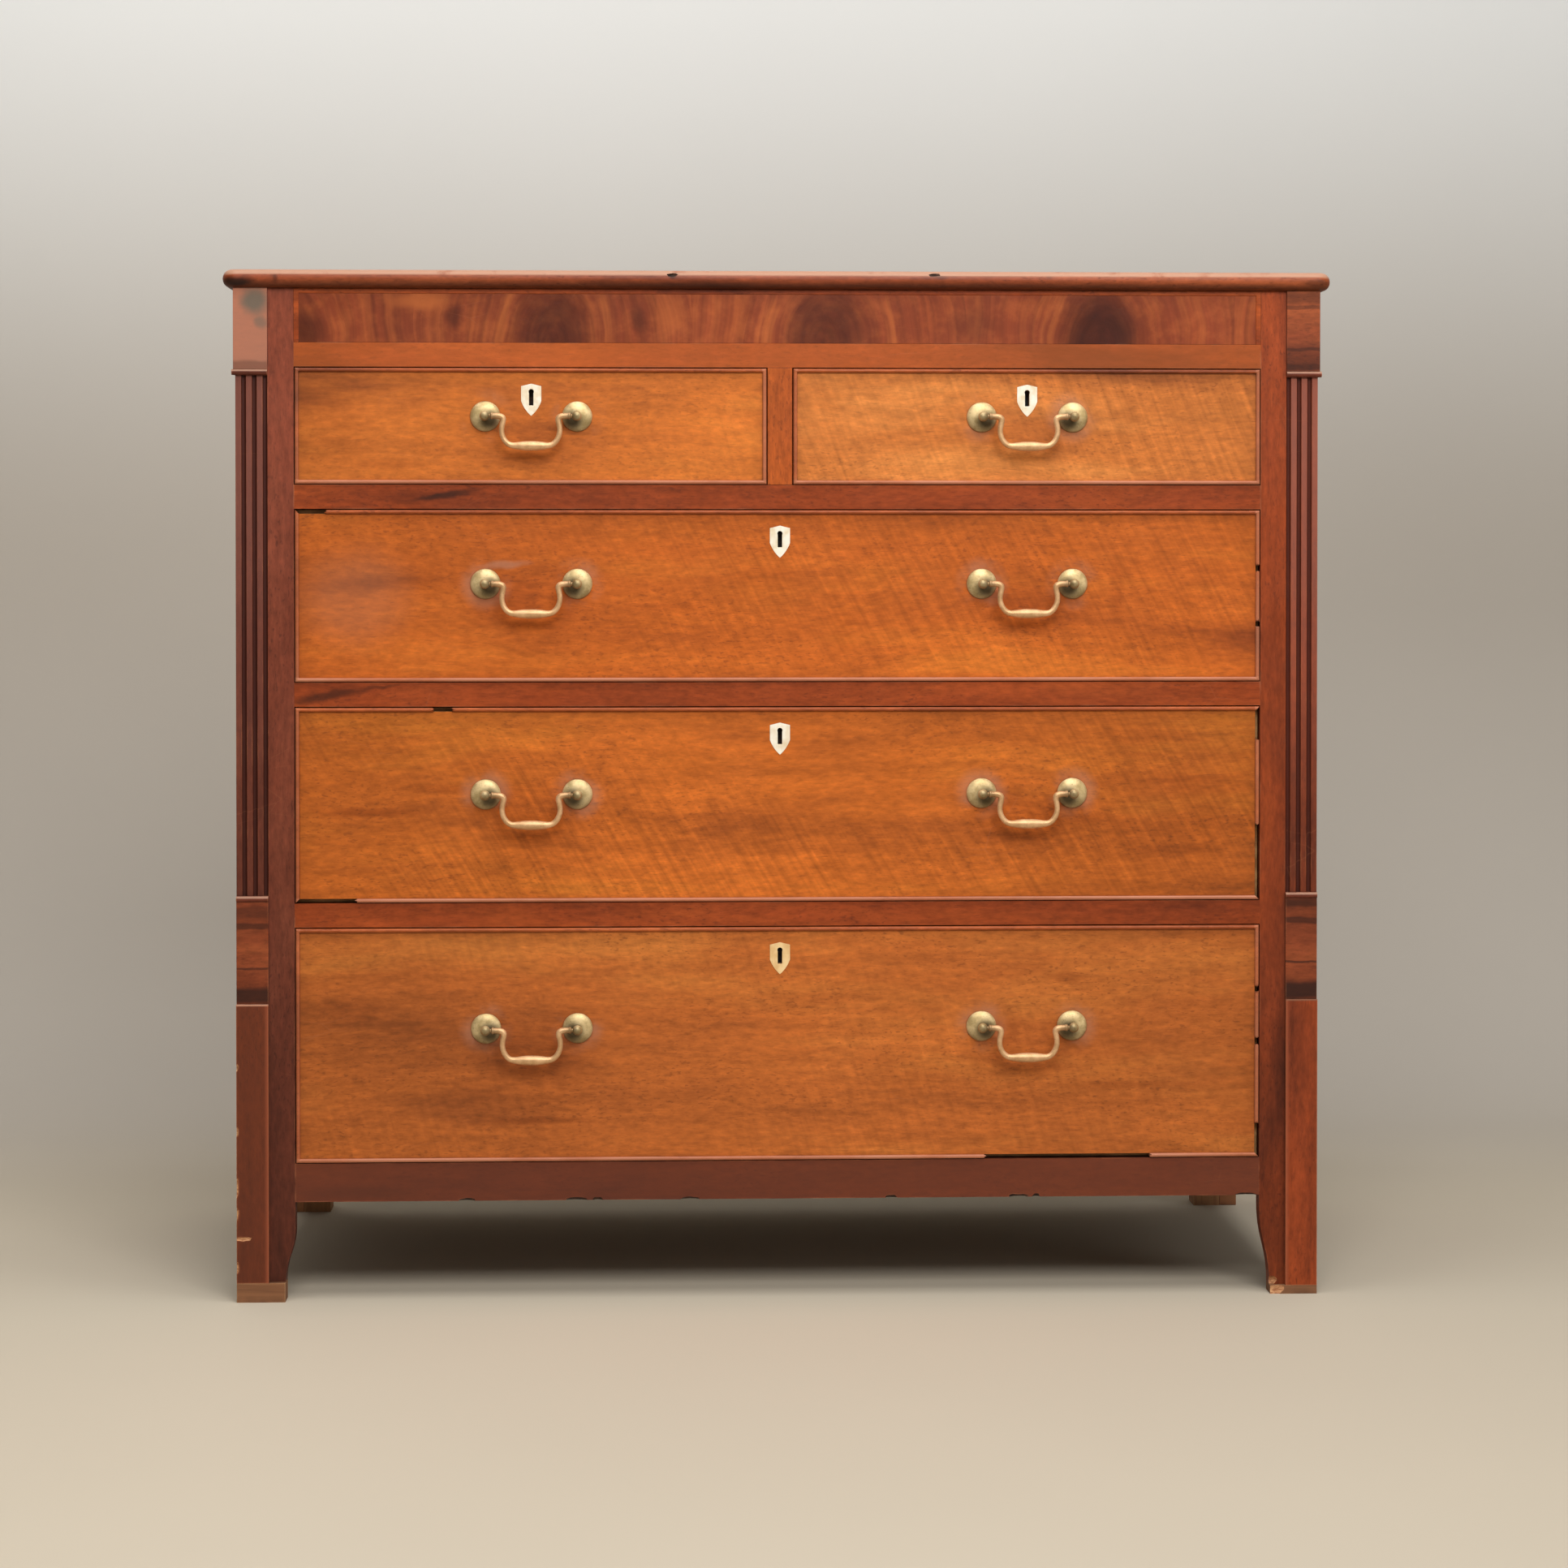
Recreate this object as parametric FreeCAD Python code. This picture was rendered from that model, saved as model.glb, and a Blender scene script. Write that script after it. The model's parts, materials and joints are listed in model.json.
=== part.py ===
# Chest of drawers with fluted corner posts: two short drawers above three long ones.
# Millimetres, +Z up. The front faces -Y. The origin is on the floor, under the middle of the chest.
import FreeCAD
import Part
import math
import os

V = FreeCAD.Vector

# Case, from the floor up
CASE_WIDTH = 1126.0             # across the outer faces of the side panels
CASE_DEPTH = 525.0              # front of the rails to the back of the case
FOOT_HEIGHT = 103.0             # floor to the underside of the apron
APRON_HEIGHT = 40.0
APRON_THICKNESS = 24.0
LOWER_OPENING = 245.0           # clear heights of the drawer openings
MIDDLE_OPENING = 204.0
UPPER_OPENING = 180.0
SHORT_OPENING = 122.0
RAIL_HEIGHT = 25.0
FRIEZE_HEIGHT = 56.0

# Frame members
FRAME_DEPTH = 62.0              # corner posts, rails and divider, front to back
STILE_WIDTH = 27.0              # plain part of a corner post's front
DIVIDER_WIDTH = 26.0
SIDE_THICKNESS = 20.0           # side panels and rear posts
REAR_POST_WIDTH = 45.0
BOTTOM_THICKNESS = 18.0
FRIEZE_THICKNESS = 22.0
FRIEZE_BORDER = 5.0             # plain margin over and beside the sunk field
FRIEZE_SINK = 0.8
TENON_LENGTH = 18.0
TENON_THICKNESS = 10.0
TENON_SETBACK = 8.0             # front of a rail to the front of its tenon
TENON_SHOULDER = 5.0            # shoulder above and below a tenon
STUB_LENGTH = 8.0               # tenons at the ends of the divider

# Back
BACK_THICKNESS = 10.0
BACK_REBATE = 10.0              # how far the boards lap on to the rear posts
BACK_BOARD_COUNT = 4
BACK_BOARD_GAP = 0.5            # shrinkage gap between two boards

# Top board
TOP_THICKNESS = 19.0
TOP_SIDE_OVERHANG = 13.0
TOP_FRONT_OVERHANG = 10.0
TOP_CORNER_ROUND = 14.0         # front corners of the top, seen from above
TOP_UPPER_ROUND = 9.0
TOP_LOWER_ROUND = 9.0
UPPER_ROUND_LIMIT = 0.5         # most of the thickness that each round may take
LOWER_ROUND_LIMIT = 0.48

# Fluted strips on the corner posts
FLUTED_WIDTH = 33.0             # fluted part of a corner post's front
FLUTE_COUNT = 3
FLUTE_LAND = 6.0                # flat on the outer side of each flute
FLUTE_DEPTH = 2.4
CAP_BLOCK_HEIGHT = 84.0
BASE_BLOCK_HEIGHT = 106.0
BLOCK_PROUD = 2.5
CAP_RETURN = 2.0                # cap block past the side of its post
ASTRAGAL_HEIGHT = 6.0
ASTRAGAL_PROUD = 4.5
ASTRAGAL_RETURN = 3.5           # upper astragal past the side of its post
PLINTH_HEIGHT = 309.0           # floor to the ledge on top of the plinth facing
PLINTH_PROUD = 6.0

# Front feet: each has its own pad and its own worn taper
EAR_THICKNESS = 18.0            # inner part of a foot, front to back
LEFT_PAD = 20.0
LEFT_TAPER_TOP = 75.0
LEFT_TAPER = 10.0
RIGHT_PAD = 9.0
RIGHT_TAPER_TOP = 92.0
RIGHT_TAPER = 11.0

# Glue blocks
FOOT_BLOCK_WIDTH = 31.0         # rear foot beside its post
TOP_BLOCK_SIZE = 24.0
TOP_BLOCK_LENGTH = 60.0
TOP_BLOCK_COUNT = 3

# Drawer runners, guides and stops
RUNNER_HEIGHT = 22.0
RUNNER_BEARING = 18.0           # how far a runner reaches under a drawer
GUIDE_HEIGHT = 16.0
STOP_HEIGHT = 6.0
STOP_DEPTH = 14.0
STOP_WIDTH = 40.0
STOP_CLEARANCE = 0.3
LONG_STOP_SPREAD = 300.0        # stops from the middle of a long drawer
SHORT_STOP_SPREAD = 150.0

# Drawers
SIDE_GAP = 1.0                  # drawer to post or divider, each side
UPPER_GAP = 1.2
LOWER_GAP = 0.8
RUN_CLEARANCE = 0.3             # drawer sides above their runners
FACE_SETBACK = 0.5              # drawer face behind the face of the rails
FRONT_THICKNESS = 22.0
DRAWER_REAR_SPACE = 19.5        # back of a closed drawer to the back boards
DRAWER_SIDE = 11.0
DRAWER_BACK = 11.0
PANEL_THICKNESS = 7.0
PANEL_RAISE = 9.0               # runner to the underside of the drawer bottom
PANEL_GROOVE = 4.5
SIDE_DROP = 4.0                 # top of the front to the top of the sides
BACK_DROP = 6.0                 # top of the sides to the top of the back
TAIL_LENGTH = 10.0
TAIL_PITCH = 45.0
TAIL_ROOT_SHARE = 0.56          # width of a tail at its root, in pitches
TAIL_SLOPE = 1.0 / 7.0
BEAD_WIDTH = 4.0
BEAD_PROUD = 3.0
BEAD_DEPTH = 9.0                # how far a bead is let into the edge of the front

# Drop handles
HANDLE_CENTRES = 95.0          # between the two posts of one handle
HANDLE_AXIS = 17.0              # pin axis in front of the drawer face
SHORT_HANDLE_RISE = 10.0        # pin axis above the middle of the drawer front
UPPER_HANDLE_RISE = 12.5
MIDDLE_HANDLE_RISE = 11.0
LOWER_HANDLE_RISE = 17.0
ROSETTE_RADIUS = 15.7
ROSETTE_HEIGHT = 4.6
ROSETTE_EDGE = 1.2
ROSETTE_DISH = 1.7              # depth of the ring sunk inside the rim
ROSETTE_CROWN_SHARE = 0.55      # highest ring, as a share of the way from the collar to the edge
ROSETTE_RIM_SHARE = 0.7         # where the rim rounds over, from the crown to the edge
ROSETTE_RIM_FULLNESS = 0.8      # height there, as a share of the rosette's height
ROSETTE_DISH_FULLNESS = 0.25    # height half way down the sunk ring, as a share of its depth
POST_RADIUS = 3.0
POST_HOLE_CLEARANCE = 0.1
POST_HEAD_RADIUS = 5.2
COLLAR_RADIUS = 6.2
COLLAR_HEIGHT = 5.4
NUT_FLATS = 10.0
NUT_THICKNESS = 4.0
THREAD_END = 1.5                # post beyond its nut
PIN_RADIUS = 2.0
PIN_CLEARANCE = 0.08
PIN_PAST_MIDDLE = 3.0           # pin beyond the middle of its post
HEAD_TO_SHOULDER = 1.3          # post head to the thicker arm of the bail
ARM_RADIUS = 2.7
GRIP_RADIUS = 4.5
CURL_X = 25.0                   # bail outline from its middle: inner curl, bow, and grip
CURL_ROUND = 3.6
BOW_X = 31.0
BOW_DROP = 17.5
BOW_ROUND = 9.0
GRIP_CORNER_X = 22.0
GRIP_CORNER_ROUND = 7.0
GRIP_DROP = 31.0
GRIP_HALF = 18.0

# Locks and escutcheons
LOCK_WIDTH = 56.0
LOCK_HEIGHT = 44.0
LOCK_THICKNESS = 9.0
BOLT_WIDTH = 22.0
BOLT_THICKNESS = 4.0
BOLT_HEIGHT = 26.0
BOLT_SETBACK = 2.5              # front of the lock case to the front of the bolt
BOLT_SINK = 0.5                 # withdrawn bolt below the top of the front
BOLT_CLEARANCE = 0.2
BOLT_THROW = 9.0
MORTISE_CLEARANCE = 1.0
MORTISE_SPARE = 2.0             # mortise above the thrown bolt
SHIELD_WIDTH = 21.0
SHIELD_HEIGHT = 33.5
SHIELD_SHOULDER = 2.6           # peak to the shoulders
SHIELD_CHEEK = 18.0             # peak to where the sides turn in
SHIELD_BELLY_SHARE = 0.62       # a point on the turned-in sides, from the cheek to the tip
SHIELD_BELLY_WIDTH = 0.52       # width there, as a share of the whole width
SHIELD_THICKNESS = 2.3
SHIELD_INLAY = 2.0
SHIELD_DROP = 16.0              # top of the drawer front to the peak
KEYHOLE_DROP = 8.3              # peak to the middle of the round part
KEYHOLE_RADIUS = 2.7
KEYHOLE_SLOT = 4.6
KEYHOLE_HEIGHT = 17.0
KEYHOLE_IN_LOCK = 2.0

# Places that follow from the sizes
X_CASE = CASE_WIDTH / 2
X_FLUTED = X_CASE - FLUTED_WIDTH
X_STILE = X_FLUTED - STILE_WIDTH
X_LINING = X_CASE - SIDE_THICKNESS
X_TOP = X_CASE + TOP_SIDE_OVERHANG
HANDLE_REACH = HANDLE_AXIS + max(POST_HEAD_RADIUS, GRIP_RADIUS) - FACE_SETBACK
FRONT_REACH = max(HANDLE_REACH, TOP_FRONT_OVERHANG)
Y_FRONT = (FRONT_REACH - CASE_DEPTH) / 2
Y_BACK = Y_FRONT + CASE_DEPTH
Y_FRAME = Y_FRONT + FRAME_DEPTH
Y_BOARDS = Y_BACK - BACK_THICKNESS
Y_FACE = Y_FRONT + FACE_SETBACK
Y_INNER = Y_FACE + FRONT_THICKNESS
Y_LOCK = Y_INNER - LOCK_THICKNESS
Y_BOLT = Y_LOCK + BOLT_SETBACK
Y_REAR = Y_BOARDS - DRAWER_REAR_SPACE
Y_PIN = Y_FACE - HANDLE_AXIS
Z_LOWER = FOOT_HEIGHT + APRON_HEIGHT
Z_RAIL_LOW = Z_LOWER + LOWER_OPENING
Z_MIDDLE = Z_RAIL_LOW + RAIL_HEIGHT
Z_RAIL_MID = Z_MIDDLE + MIDDLE_OPENING
Z_UPPER = Z_RAIL_MID + RAIL_HEIGHT
Z_RAIL_HIGH = Z_UPPER + UPPER_OPENING
Z_SHORT = Z_RAIL_HIGH + RAIL_HEIGHT
Z_TOP_RAIL = Z_SHORT + SHORT_OPENING
Z_FRIEZE = Z_TOP_RAIL + RAIL_HEIGHT
Z_CASE = Z_FRIEZE + FRIEZE_HEIGHT
Z_BASE_BLOCK = PLINTH_HEIGHT + BASE_BLOCK_HEIGHT
Z_CAP_BLOCK = Z_CASE - CAP_BLOCK_HEIGHT
LONG_WIDTH = 2 * X_STILE
SHORT_WIDTH = X_STILE - DIVIDER_WIDTH / 2
SHORT_MIDDLE = X_STILE - SHORT_WIDTH / 2

LEFT = -1
RIGHT = 1
SIDES = (LEFT, RIGHT)
FEET = {
    LEFT: (LEFT_PAD, LEFT_TAPER_TOP, LEFT_TAPER),
    RIGHT: (RIGHT_PAD, RIGHT_TAPER_TOP, RIGHT_TAPER),
}
RAIL_LEVELS = (Z_RAIL_LOW, Z_RAIL_MID, Z_RAIL_HIGH, Z_TOP_RAIL)
REACH = 10.0                    # how far a cutting shape runs past the solid that it cuts


class Drawer:
    """One drawer in its opening, with its handles counted from the middle of the drawer."""

    def __init__(self, name, middle, width, floor, opening, handle_rise, handles, stop_spread):
        self.name = name
        self.middle = middle
        self.left = middle - width / 2 + SIDE_GAP
        self.right = middle + width / 2 - SIDE_GAP
        self.floor = floor
        self.ceiling = floor + opening
        self.bottom = floor + LOWER_GAP
        self.top = self.ceiling - UPPER_GAP
        self.handle_level = (self.bottom + self.top) / 2 + handle_rise
        self.handles = handles
        self.stop_spread = stop_spread
        self.side_top = self.top - SIDE_DROP
        self.back_top = self.side_top - BACK_DROP
        self.panel = floor + PANEL_RAISE
        self.panel_top = self.panel + PANEL_THICKNESS
        self.peak = self.top - SHIELD_DROP


# The handles of a long drawer hang below those of the short drawers
PAIR = {"left": -SHORT_MIDDLE, "right": SHORT_MIDDLE}
DRAWERS = (
    Drawer("short_left", -SHORT_MIDDLE, SHORT_WIDTH, Z_SHORT, SHORT_OPENING,
           SHORT_HANDLE_RISE, {"": 0.0}, SHORT_STOP_SPREAD),
    Drawer("short_right", SHORT_MIDDLE, SHORT_WIDTH, Z_SHORT, SHORT_OPENING,
           SHORT_HANDLE_RISE, {"": 0.0}, SHORT_STOP_SPREAD),
    Drawer("upper", 0.0, LONG_WIDTH, Z_UPPER, UPPER_OPENING,
           UPPER_HANDLE_RISE, PAIR, LONG_STOP_SPREAD),
    Drawer("middle", 0.0, LONG_WIDTH, Z_MIDDLE, MIDDLE_OPENING,
           MIDDLE_HANDLE_RISE, PAIR, LONG_STOP_SPREAD),
    Drawer("lower", 0.0, LONG_WIDTH, Z_LOWER, LOWER_OPENING,
           LOWER_HANDLE_RISE, PAIR, LONG_STOP_SPREAD),
)


def block(x0, x1, y0, y1, z0, z1):
    """Rectangular block between two corners, given in any order."""
    low = V(min(x0, x1), min(y0, y1), min(z0, z1))
    return Part.makeBox(abs(x1 - x0), abs(y1 - y0), abs(z1 - z0), low)


def prism(corners, along):
    """Solid made by pushing a straight-sided outline along a vector."""
    outline = Part.makePolygon(list(corners) + [corners[0]])
    return Part.Face(outline).extrude(along)


def push(edges, along):
    """Solid made by pushing an outline of lines and arcs along a vector."""
    return Part.Face(Part.Wire(edges)).extrude(along)


def line(start, end):
    return Part.LineSegment(start, end).toShape()


def arc(start, through, end):
    return Part.Arc(start, through, end).toShape()


def turned(edges, base, axis):
    """Solid turned from a closed half section about an axis."""
    return Part.Face(Part.Wire(edges)).revolve(base, axis, 360)


def save(name, solids):
    """Write one node, a solid or a group of separate solids."""
    shape = solids[0] if len(solids) == 1 else Part.makeCompound(solids)
    shape.exportStep(os.path.join("parts", name + ".step"))


def post_facing(side, proud, z0, z1):
    """Flat facing over the fluted part of a corner post."""
    return block(side * X_FLUTED, side * X_CASE, Y_FRONT - proud, Y_FRONT, z0, z1)


def cap_block(side):
    """Block at the head of a corner post, with a return along its side."""
    x_out = side * (X_CASE + CAP_RETURN)
    y_out = Y_FRONT - BLOCK_PROUD
    corners = [V(side * X_FLUTED, Y_FRONT, Z_CAP_BLOCK), V(side * X_FLUTED, y_out, Z_CAP_BLOCK),
               V(x_out, y_out, Z_CAP_BLOCK), V(x_out, Y_FRAME, Z_CAP_BLOCK),
               V(side * X_CASE, Y_FRAME, Z_CAP_BLOCK), V(side * X_CASE, Y_FRONT, Z_CAP_BLOCK)]
    return prism(corners, V(0, 0, CAP_BLOCK_HEIGHT))


def tenon_pair(z0, height):
    """Tenons at both ends of a rail, also the shape of their mortises."""
    y0 = Y_FRONT + TENON_SETBACK
    return [
        block(side * X_STILE, side * (X_STILE + TENON_LENGTH), y0, y0 + TENON_THICKNESS,
              z0 + TENON_SHOULDER, z0 + height - TENON_SHOULDER)
        for side in SIDES
    ]


def rail_tenons():
    """Every rail's tenons, apron included."""
    tenons = tenon_pair(FOOT_HEIGHT, APRON_HEIGHT)
    for level in RAIL_LEVELS:
        tenons += tenon_pair(level, RAIL_HEIGHT)
    return tenons


def foot_taper(side):
    """Inner edge of a front foot, an easy S from the stile down to the pad."""
    pad, taper_top, inset = FEET[side]
    radius = (inset ** 2 + (taper_top - pad) ** 2) / (4 * inset)
    sweep = math.asin((taper_top - pad) / 2 / radius)
    head = V(side * X_STILE, Y_FRONT, taper_top)
    toe = V(side * (X_STILE + inset), Y_FRONT, pad)
    waist = (head + toe) * 0.5
    bulge = V(side * radius * (1 - math.cos(sweep / 2)), 0, -radius * math.sin(sweep / 2))
    return [arc(head, head + bulge, waist), arc(waist, toe - bulge, toe)], head, toe


def corner_post(side, mortises):
    """Post with a fluted strip down its front, which runs down into the front foot."""
    pad = FEET[side][0]
    taper, head, toe = foot_taper(side)
    outer_foot = V(side * X_CASE, Y_FRONT, pad)
    outer_top = V(side * X_CASE, Y_FRONT, Z_CASE)
    inner_top = V(side * X_STILE, Y_FRONT, Z_CASE)
    outline = taper + [line(toe, outer_foot), line(outer_foot, outer_top),
                       line(outer_top, inner_top), line(inner_top, head)]
    post = push(outline, V(0, FRAME_DEPTH, 0))
    behind_ear = block(side * (X_STILE - REACH), side * X_FLUTED, Y_FRONT + EAR_THICKNESS,
                       Y_FRAME + REACH, pad - REACH, FOOT_HEIGHT)
    return post.cut(flutes(side) + mortises + [behind_ear])


def flutes(side):
    """Round-bottomed flutes between the two astragals of a corner post."""
    width = FLUTED_WIDTH / FLUTE_COUNT - FLUTE_LAND
    radius = (width ** 2 / 4 + FLUTE_DEPTH ** 2) / (2 * FLUTE_DEPTH)
    z0 = Z_BASE_BLOCK + ASTRAGAL_HEIGHT
    height = Z_CAP_BLOCK - ASTRAGAL_HEIGHT - z0
    cutters = []
    for number in range(FLUTE_COUNT):
        middle = X_FLUTED + width / 2 + number * (width + FLUTE_LAND)
        centre = V(side * middle, Y_FRONT + FLUTE_DEPTH - radius, z0)
        cutters.append(Part.makeCylinder(radius, height, centre))
    return cutters


def astragal(foot, outwards, proud, along):
    """Half-round bead that stands out from a face and runs along it."""
    nose = ASTRAGAL_HEIGHT / 2
    head = foot + V(0, 0, ASTRAGAL_HEIGHT)
    neck = outwards * (proud - nose)
    tip = foot + outwards * proud + V(0, 0, nose)
    section = [line(foot, foot + neck), arc(foot + neck, tip, head + neck),
               line(head + neck, head), line(head, foot)]
    return push(section, along)


def front_astragal(side, z0, past_side):
    """Bead across the fluted strip of a corner post, also past the side of the post."""
    start = V(side * X_FLUTED, Y_FRONT, z0)
    return astragal(start, V(0, -1, 0), ASTRAGAL_PROUD, V(side * (FLUTED_WIDTH + past_side), 0, 0))


def upper_astragal(side):
    """Bead under a cap block, with a return along the side of the post."""
    z0 = Z_CAP_BLOCK - ASTRAGAL_HEIGHT
    side_run = astragal(V(side * X_CASE, Y_FRONT, z0), V(side, 0, 0), ASTRAGAL_RETURN, V(0, FRAME_DEPTH, 0))
    return front_astragal(side, z0, ASTRAGAL_RETURN).fuse(side_run).removeSplitter()


def foot_pad(side):
    """Levelling pad under a front foot and its plinth facing."""
    pad, _, inset = FEET[side]
    x_toe = side * (X_STILE + inset)
    x_leg = side * X_FLUTED
    x_out = side * X_CASE
    y_front = Y_FRONT - PLINTH_PROUD
    y_ear = Y_FRONT + EAR_THICKNESS
    corners = [V(x_toe, y_front, 0), V(x_out, y_front, 0), V(x_out, Y_FRAME, 0),
               V(x_leg, Y_FRAME, 0), V(x_leg, y_ear, 0), V(x_toe, y_ear, 0)]
    return prism(corners, V(0, 0, pad))


def top_board():
    """Top with eased front corners and a rounded edge on the front and sides."""
    y0 = Y_FRONT - TOP_FRONT_OVERHANG
    board = block(-X_TOP, X_TOP, y0, Y_BACK, Z_CASE, Z_CASE + TOP_THICKNESS)
    front_corners = [edge for edge in board.Edges
                     if all(abs(abs(end.X) - X_TOP) + abs(end.Y - y0) < 1e-6 for end in edge.Vertexes)
                     and abs(edge.Vertexes[0].Z - edge.Vertexes[1].Z) > 1e-6]
    board = board.makeFillet(TOP_CORNER_ROUND, front_corners)
    upper = min(TOP_UPPER_ROUND, TOP_THICKNESS * UPPER_ROUND_LIMIT)
    lower = min(TOP_LOWER_ROUND, TOP_THICKNESS * LOWER_ROUND_LIMIT)
    board = board.makeFillet(upper, moulded_edges(board, Z_CASE + TOP_THICKNESS))
    return board.makeFillet(lower, moulded_edges(board, Z_CASE))


def moulded_edges(board, level):
    """Edges of the top at one level, without the square edge at the back."""
    chosen = []
    for edge in board.Edges:
        ends = [vertex.Point for vertex in edge.Vertexes]
        on_level = all(abs(end.z - level) < 1e-6 for end in ends)
        on_back = all(abs(end.y - Y_BACK) < 1e-6 for end in ends)
        if on_level and not on_back:
            chosen.append(edge)
    return chosen


def frieze_panel():
    """Frieze between the posts, with a sunk field inside a narrow border."""
    y1 = Y_FRONT + FRIEZE_THICKNESS
    panel = block(-X_STILE, X_STILE, Y_FRONT, y1, Z_FRIEZE, Z_CASE)
    half = X_STILE - FRIEZE_BORDER
    field = block(-half, half, Y_FRONT - REACH, Y_FRONT + FRIEZE_SINK,
                  Z_FRIEZE - REACH, Z_CASE - FRIEZE_BORDER)
    return panel.cut(field)


def divider_stubs():
    """Tenons of the divider into the two rails, also the shape of their mortises."""
    half = DIVIDER_WIDTH / 2 - TENON_SHOULDER
    y0 = Y_FRONT + TENON_SETBACK
    y1 = y0 + TENON_THICKNESS
    return [block(-half, half, y0, y1, Z_SHORT - STUB_LENGTH, Z_SHORT),
            block(-half, half, y0, y1, Z_TOP_RAIL, Z_TOP_RAIL + STUB_LENGTH)]


def centre_divider():
    post = block(-DIVIDER_WIDTH / 2, DIVIDER_WIDTH / 2, Y_FRONT, Y_FRAME, Z_SHORT, Z_TOP_RAIL)
    return post.fuse(divider_stubs()).removeSplitter()


def bolt_mortise(drawer):
    """Mortise over a drawer's lock, in the rail above."""
    half = BOLT_WIDTH / 2 + MORTISE_CLEARANCE
    thrown = drawer.top - BOLT_SINK + BOLT_THROW
    return block(drawer.middle - half, drawer.middle + half, Y_BOLT - MORTISE_CLEARANCE,
                 Y_BOLT + BOLT_THICKNESS + MORTISE_CLEARANCE,
                 drawer.ceiling - REACH, thrown + MORTISE_SPARE)


def front_rails():
    """Three drawer rails, the top rail and the apron, tenoned into the posts."""
    cuts = divider_stubs() + [bolt_mortise(drawer) for drawer in DRAWERS]
    rails = []
    for level in RAIL_LEVELS:
        body = block(-X_STILE, X_STILE, Y_FRONT, Y_FRAME, level, level + RAIL_HEIGHT)
        body = body.fuse(tenon_pair(level, RAIL_HEIGHT)).removeSplitter()
        rails.append(body.cut(cuts))
    apron = block(-X_STILE, X_STILE, Y_FRONT, Y_FRONT + APRON_THICKNESS, FOOT_HEIGHT, Z_LOWER)
    rails.append(apron.fuse(tenon_pair(FOOT_HEIGHT, APRON_HEIGHT)).removeSplitter())
    return rails


def side_panel(side):
    return block(side * X_LINING, side * X_CASE, Y_FRAME, Y_BACK - REAR_POST_WIDTH,
                 FOOT_HEIGHT, Z_CASE)


def rear_post(side):
    """Back stile of a side, rebated for the back boards and running down as the rear foot."""
    post = block(side * X_LINING, side * X_CASE, Y_BACK - REAR_POST_WIDTH, Y_BACK, 0, Z_CASE)
    rebate = block(side * (X_LINING - REACH), side * (X_LINING + BACK_REBATE),
                   Y_BOARDS, Y_BACK + REACH, FOOT_HEIGHT, Z_CASE + REACH)
    return post.cut(rebate)


def back_boards():
    """Level boards, one above the other, in the rebates of the rear posts."""
    half = X_LINING + BACK_REBATE
    gaps = (BACK_BOARD_COUNT - 1) * BACK_BOARD_GAP
    height = (Z_CASE - FOOT_HEIGHT - gaps) / BACK_BOARD_COUNT
    boards = []
    for number in range(BACK_BOARD_COUNT):
        z0 = FOOT_HEIGHT + number * (height + BACK_BOARD_GAP)
        boards.append(block(-half, half, Y_BOARDS, Y_BACK, z0, z0 + height))
    return boards


def carcase_bottom():
    """Bottom of the case, notched round the posts, on which the lowest drawer runs."""
    z0 = Z_LOWER - BOTTOM_THICKNESS
    board = block(-X_LINING, X_LINING, Y_FRONT + APRON_THICKNESS, Y_BOARDS, z0, Z_LOWER)
    notches = [block(side * X_STILE, side * X_CASE, Y_FRONT, Y_FRAME, z0 - REACH, Z_LOWER + REACH)
               for side in SIDES]
    return board.cut(notches)


def runner(x0, x1, z0, height):
    """Bearer from the back of the rails to the back boards."""
    return block(x0, x1, Y_FRAME, Y_BOARDS, z0, z0 + height)


def runners_and_guides():
    """Bearers under the drawers, strips that keep them straight, and kickers over the short ones."""
    inner = X_STILE - RUNNER_BEARING
    centre = DIVIDER_WIDTH / 2
    strips = []
    for side in SIDES:
        for level in (Z_MIDDLE, Z_UPPER, Z_SHORT):
            strips.append(runner(side * inner, side * X_LINING, level - RUNNER_HEIGHT, RUNNER_HEIGHT))
        strips.append(runner(side * inner, side * X_LINING, Z_TOP_RAIL, RUNNER_HEIGHT))
        for level in (Z_LOWER, Z_MIDDLE, Z_UPPER, Z_SHORT):
            strips.append(runner(side * X_STILE, side * X_LINING, level, GUIDE_HEIGHT))
    reach = centre + RUNNER_BEARING
    strips.append(runner(-reach, reach, Z_SHORT - RUNNER_HEIGHT, RUNNER_HEIGHT))
    strips.append(runner(-reach, reach, Z_TOP_RAIL, RUNNER_HEIGHT))
    strips.append(runner(-centre, centre, Z_SHORT, GUIDE_HEIGHT))
    return strips


def drawer_stops():
    """Small blocks on the rails that meet the back of a closed drawer front."""
    y0 = Y_INNER + STOP_CLEARANCE
    stops = []
    for drawer in DRAWERS:
        for side in SIDES:
            x0 = drawer.middle + side * drawer.stop_spread - STOP_WIDTH / 2
            stops.append(block(x0, x0 + STOP_WIDTH, y0, y0 + STOP_DEPTH,
                               drawer.floor, drawer.floor + STOP_HEIGHT))
    return stops


def glue_blocks():
    """Blocks beside the rear feet, and along the sides under the top."""
    x_in = X_LINING - FOOT_BLOCK_WIDTH
    z_top = Z_LOWER - BOTTOM_THICKNESS
    blocks = [block(side * x_in, side * X_LINING, Y_BACK - REAR_POST_WIDTH, Y_BOARDS, 0, z_top)
              for side in SIDES]
    spacing = (Y_BOARDS - Y_FRAME) / TOP_BLOCK_COUNT
    for side in SIDES:
        for number in range(TOP_BLOCK_COUNT):
            middle = Y_FRAME + (number + 0.5) * spacing
            blocks.append(block(side * (X_LINING - TOP_BLOCK_SIZE), side * X_LINING,
                                middle - TOP_BLOCK_LENGTH / 2, middle + TOP_BLOCK_LENGTH / 2,
                                Z_CASE - TOP_BLOCK_SIZE, Z_CASE))
    return blocks


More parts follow.
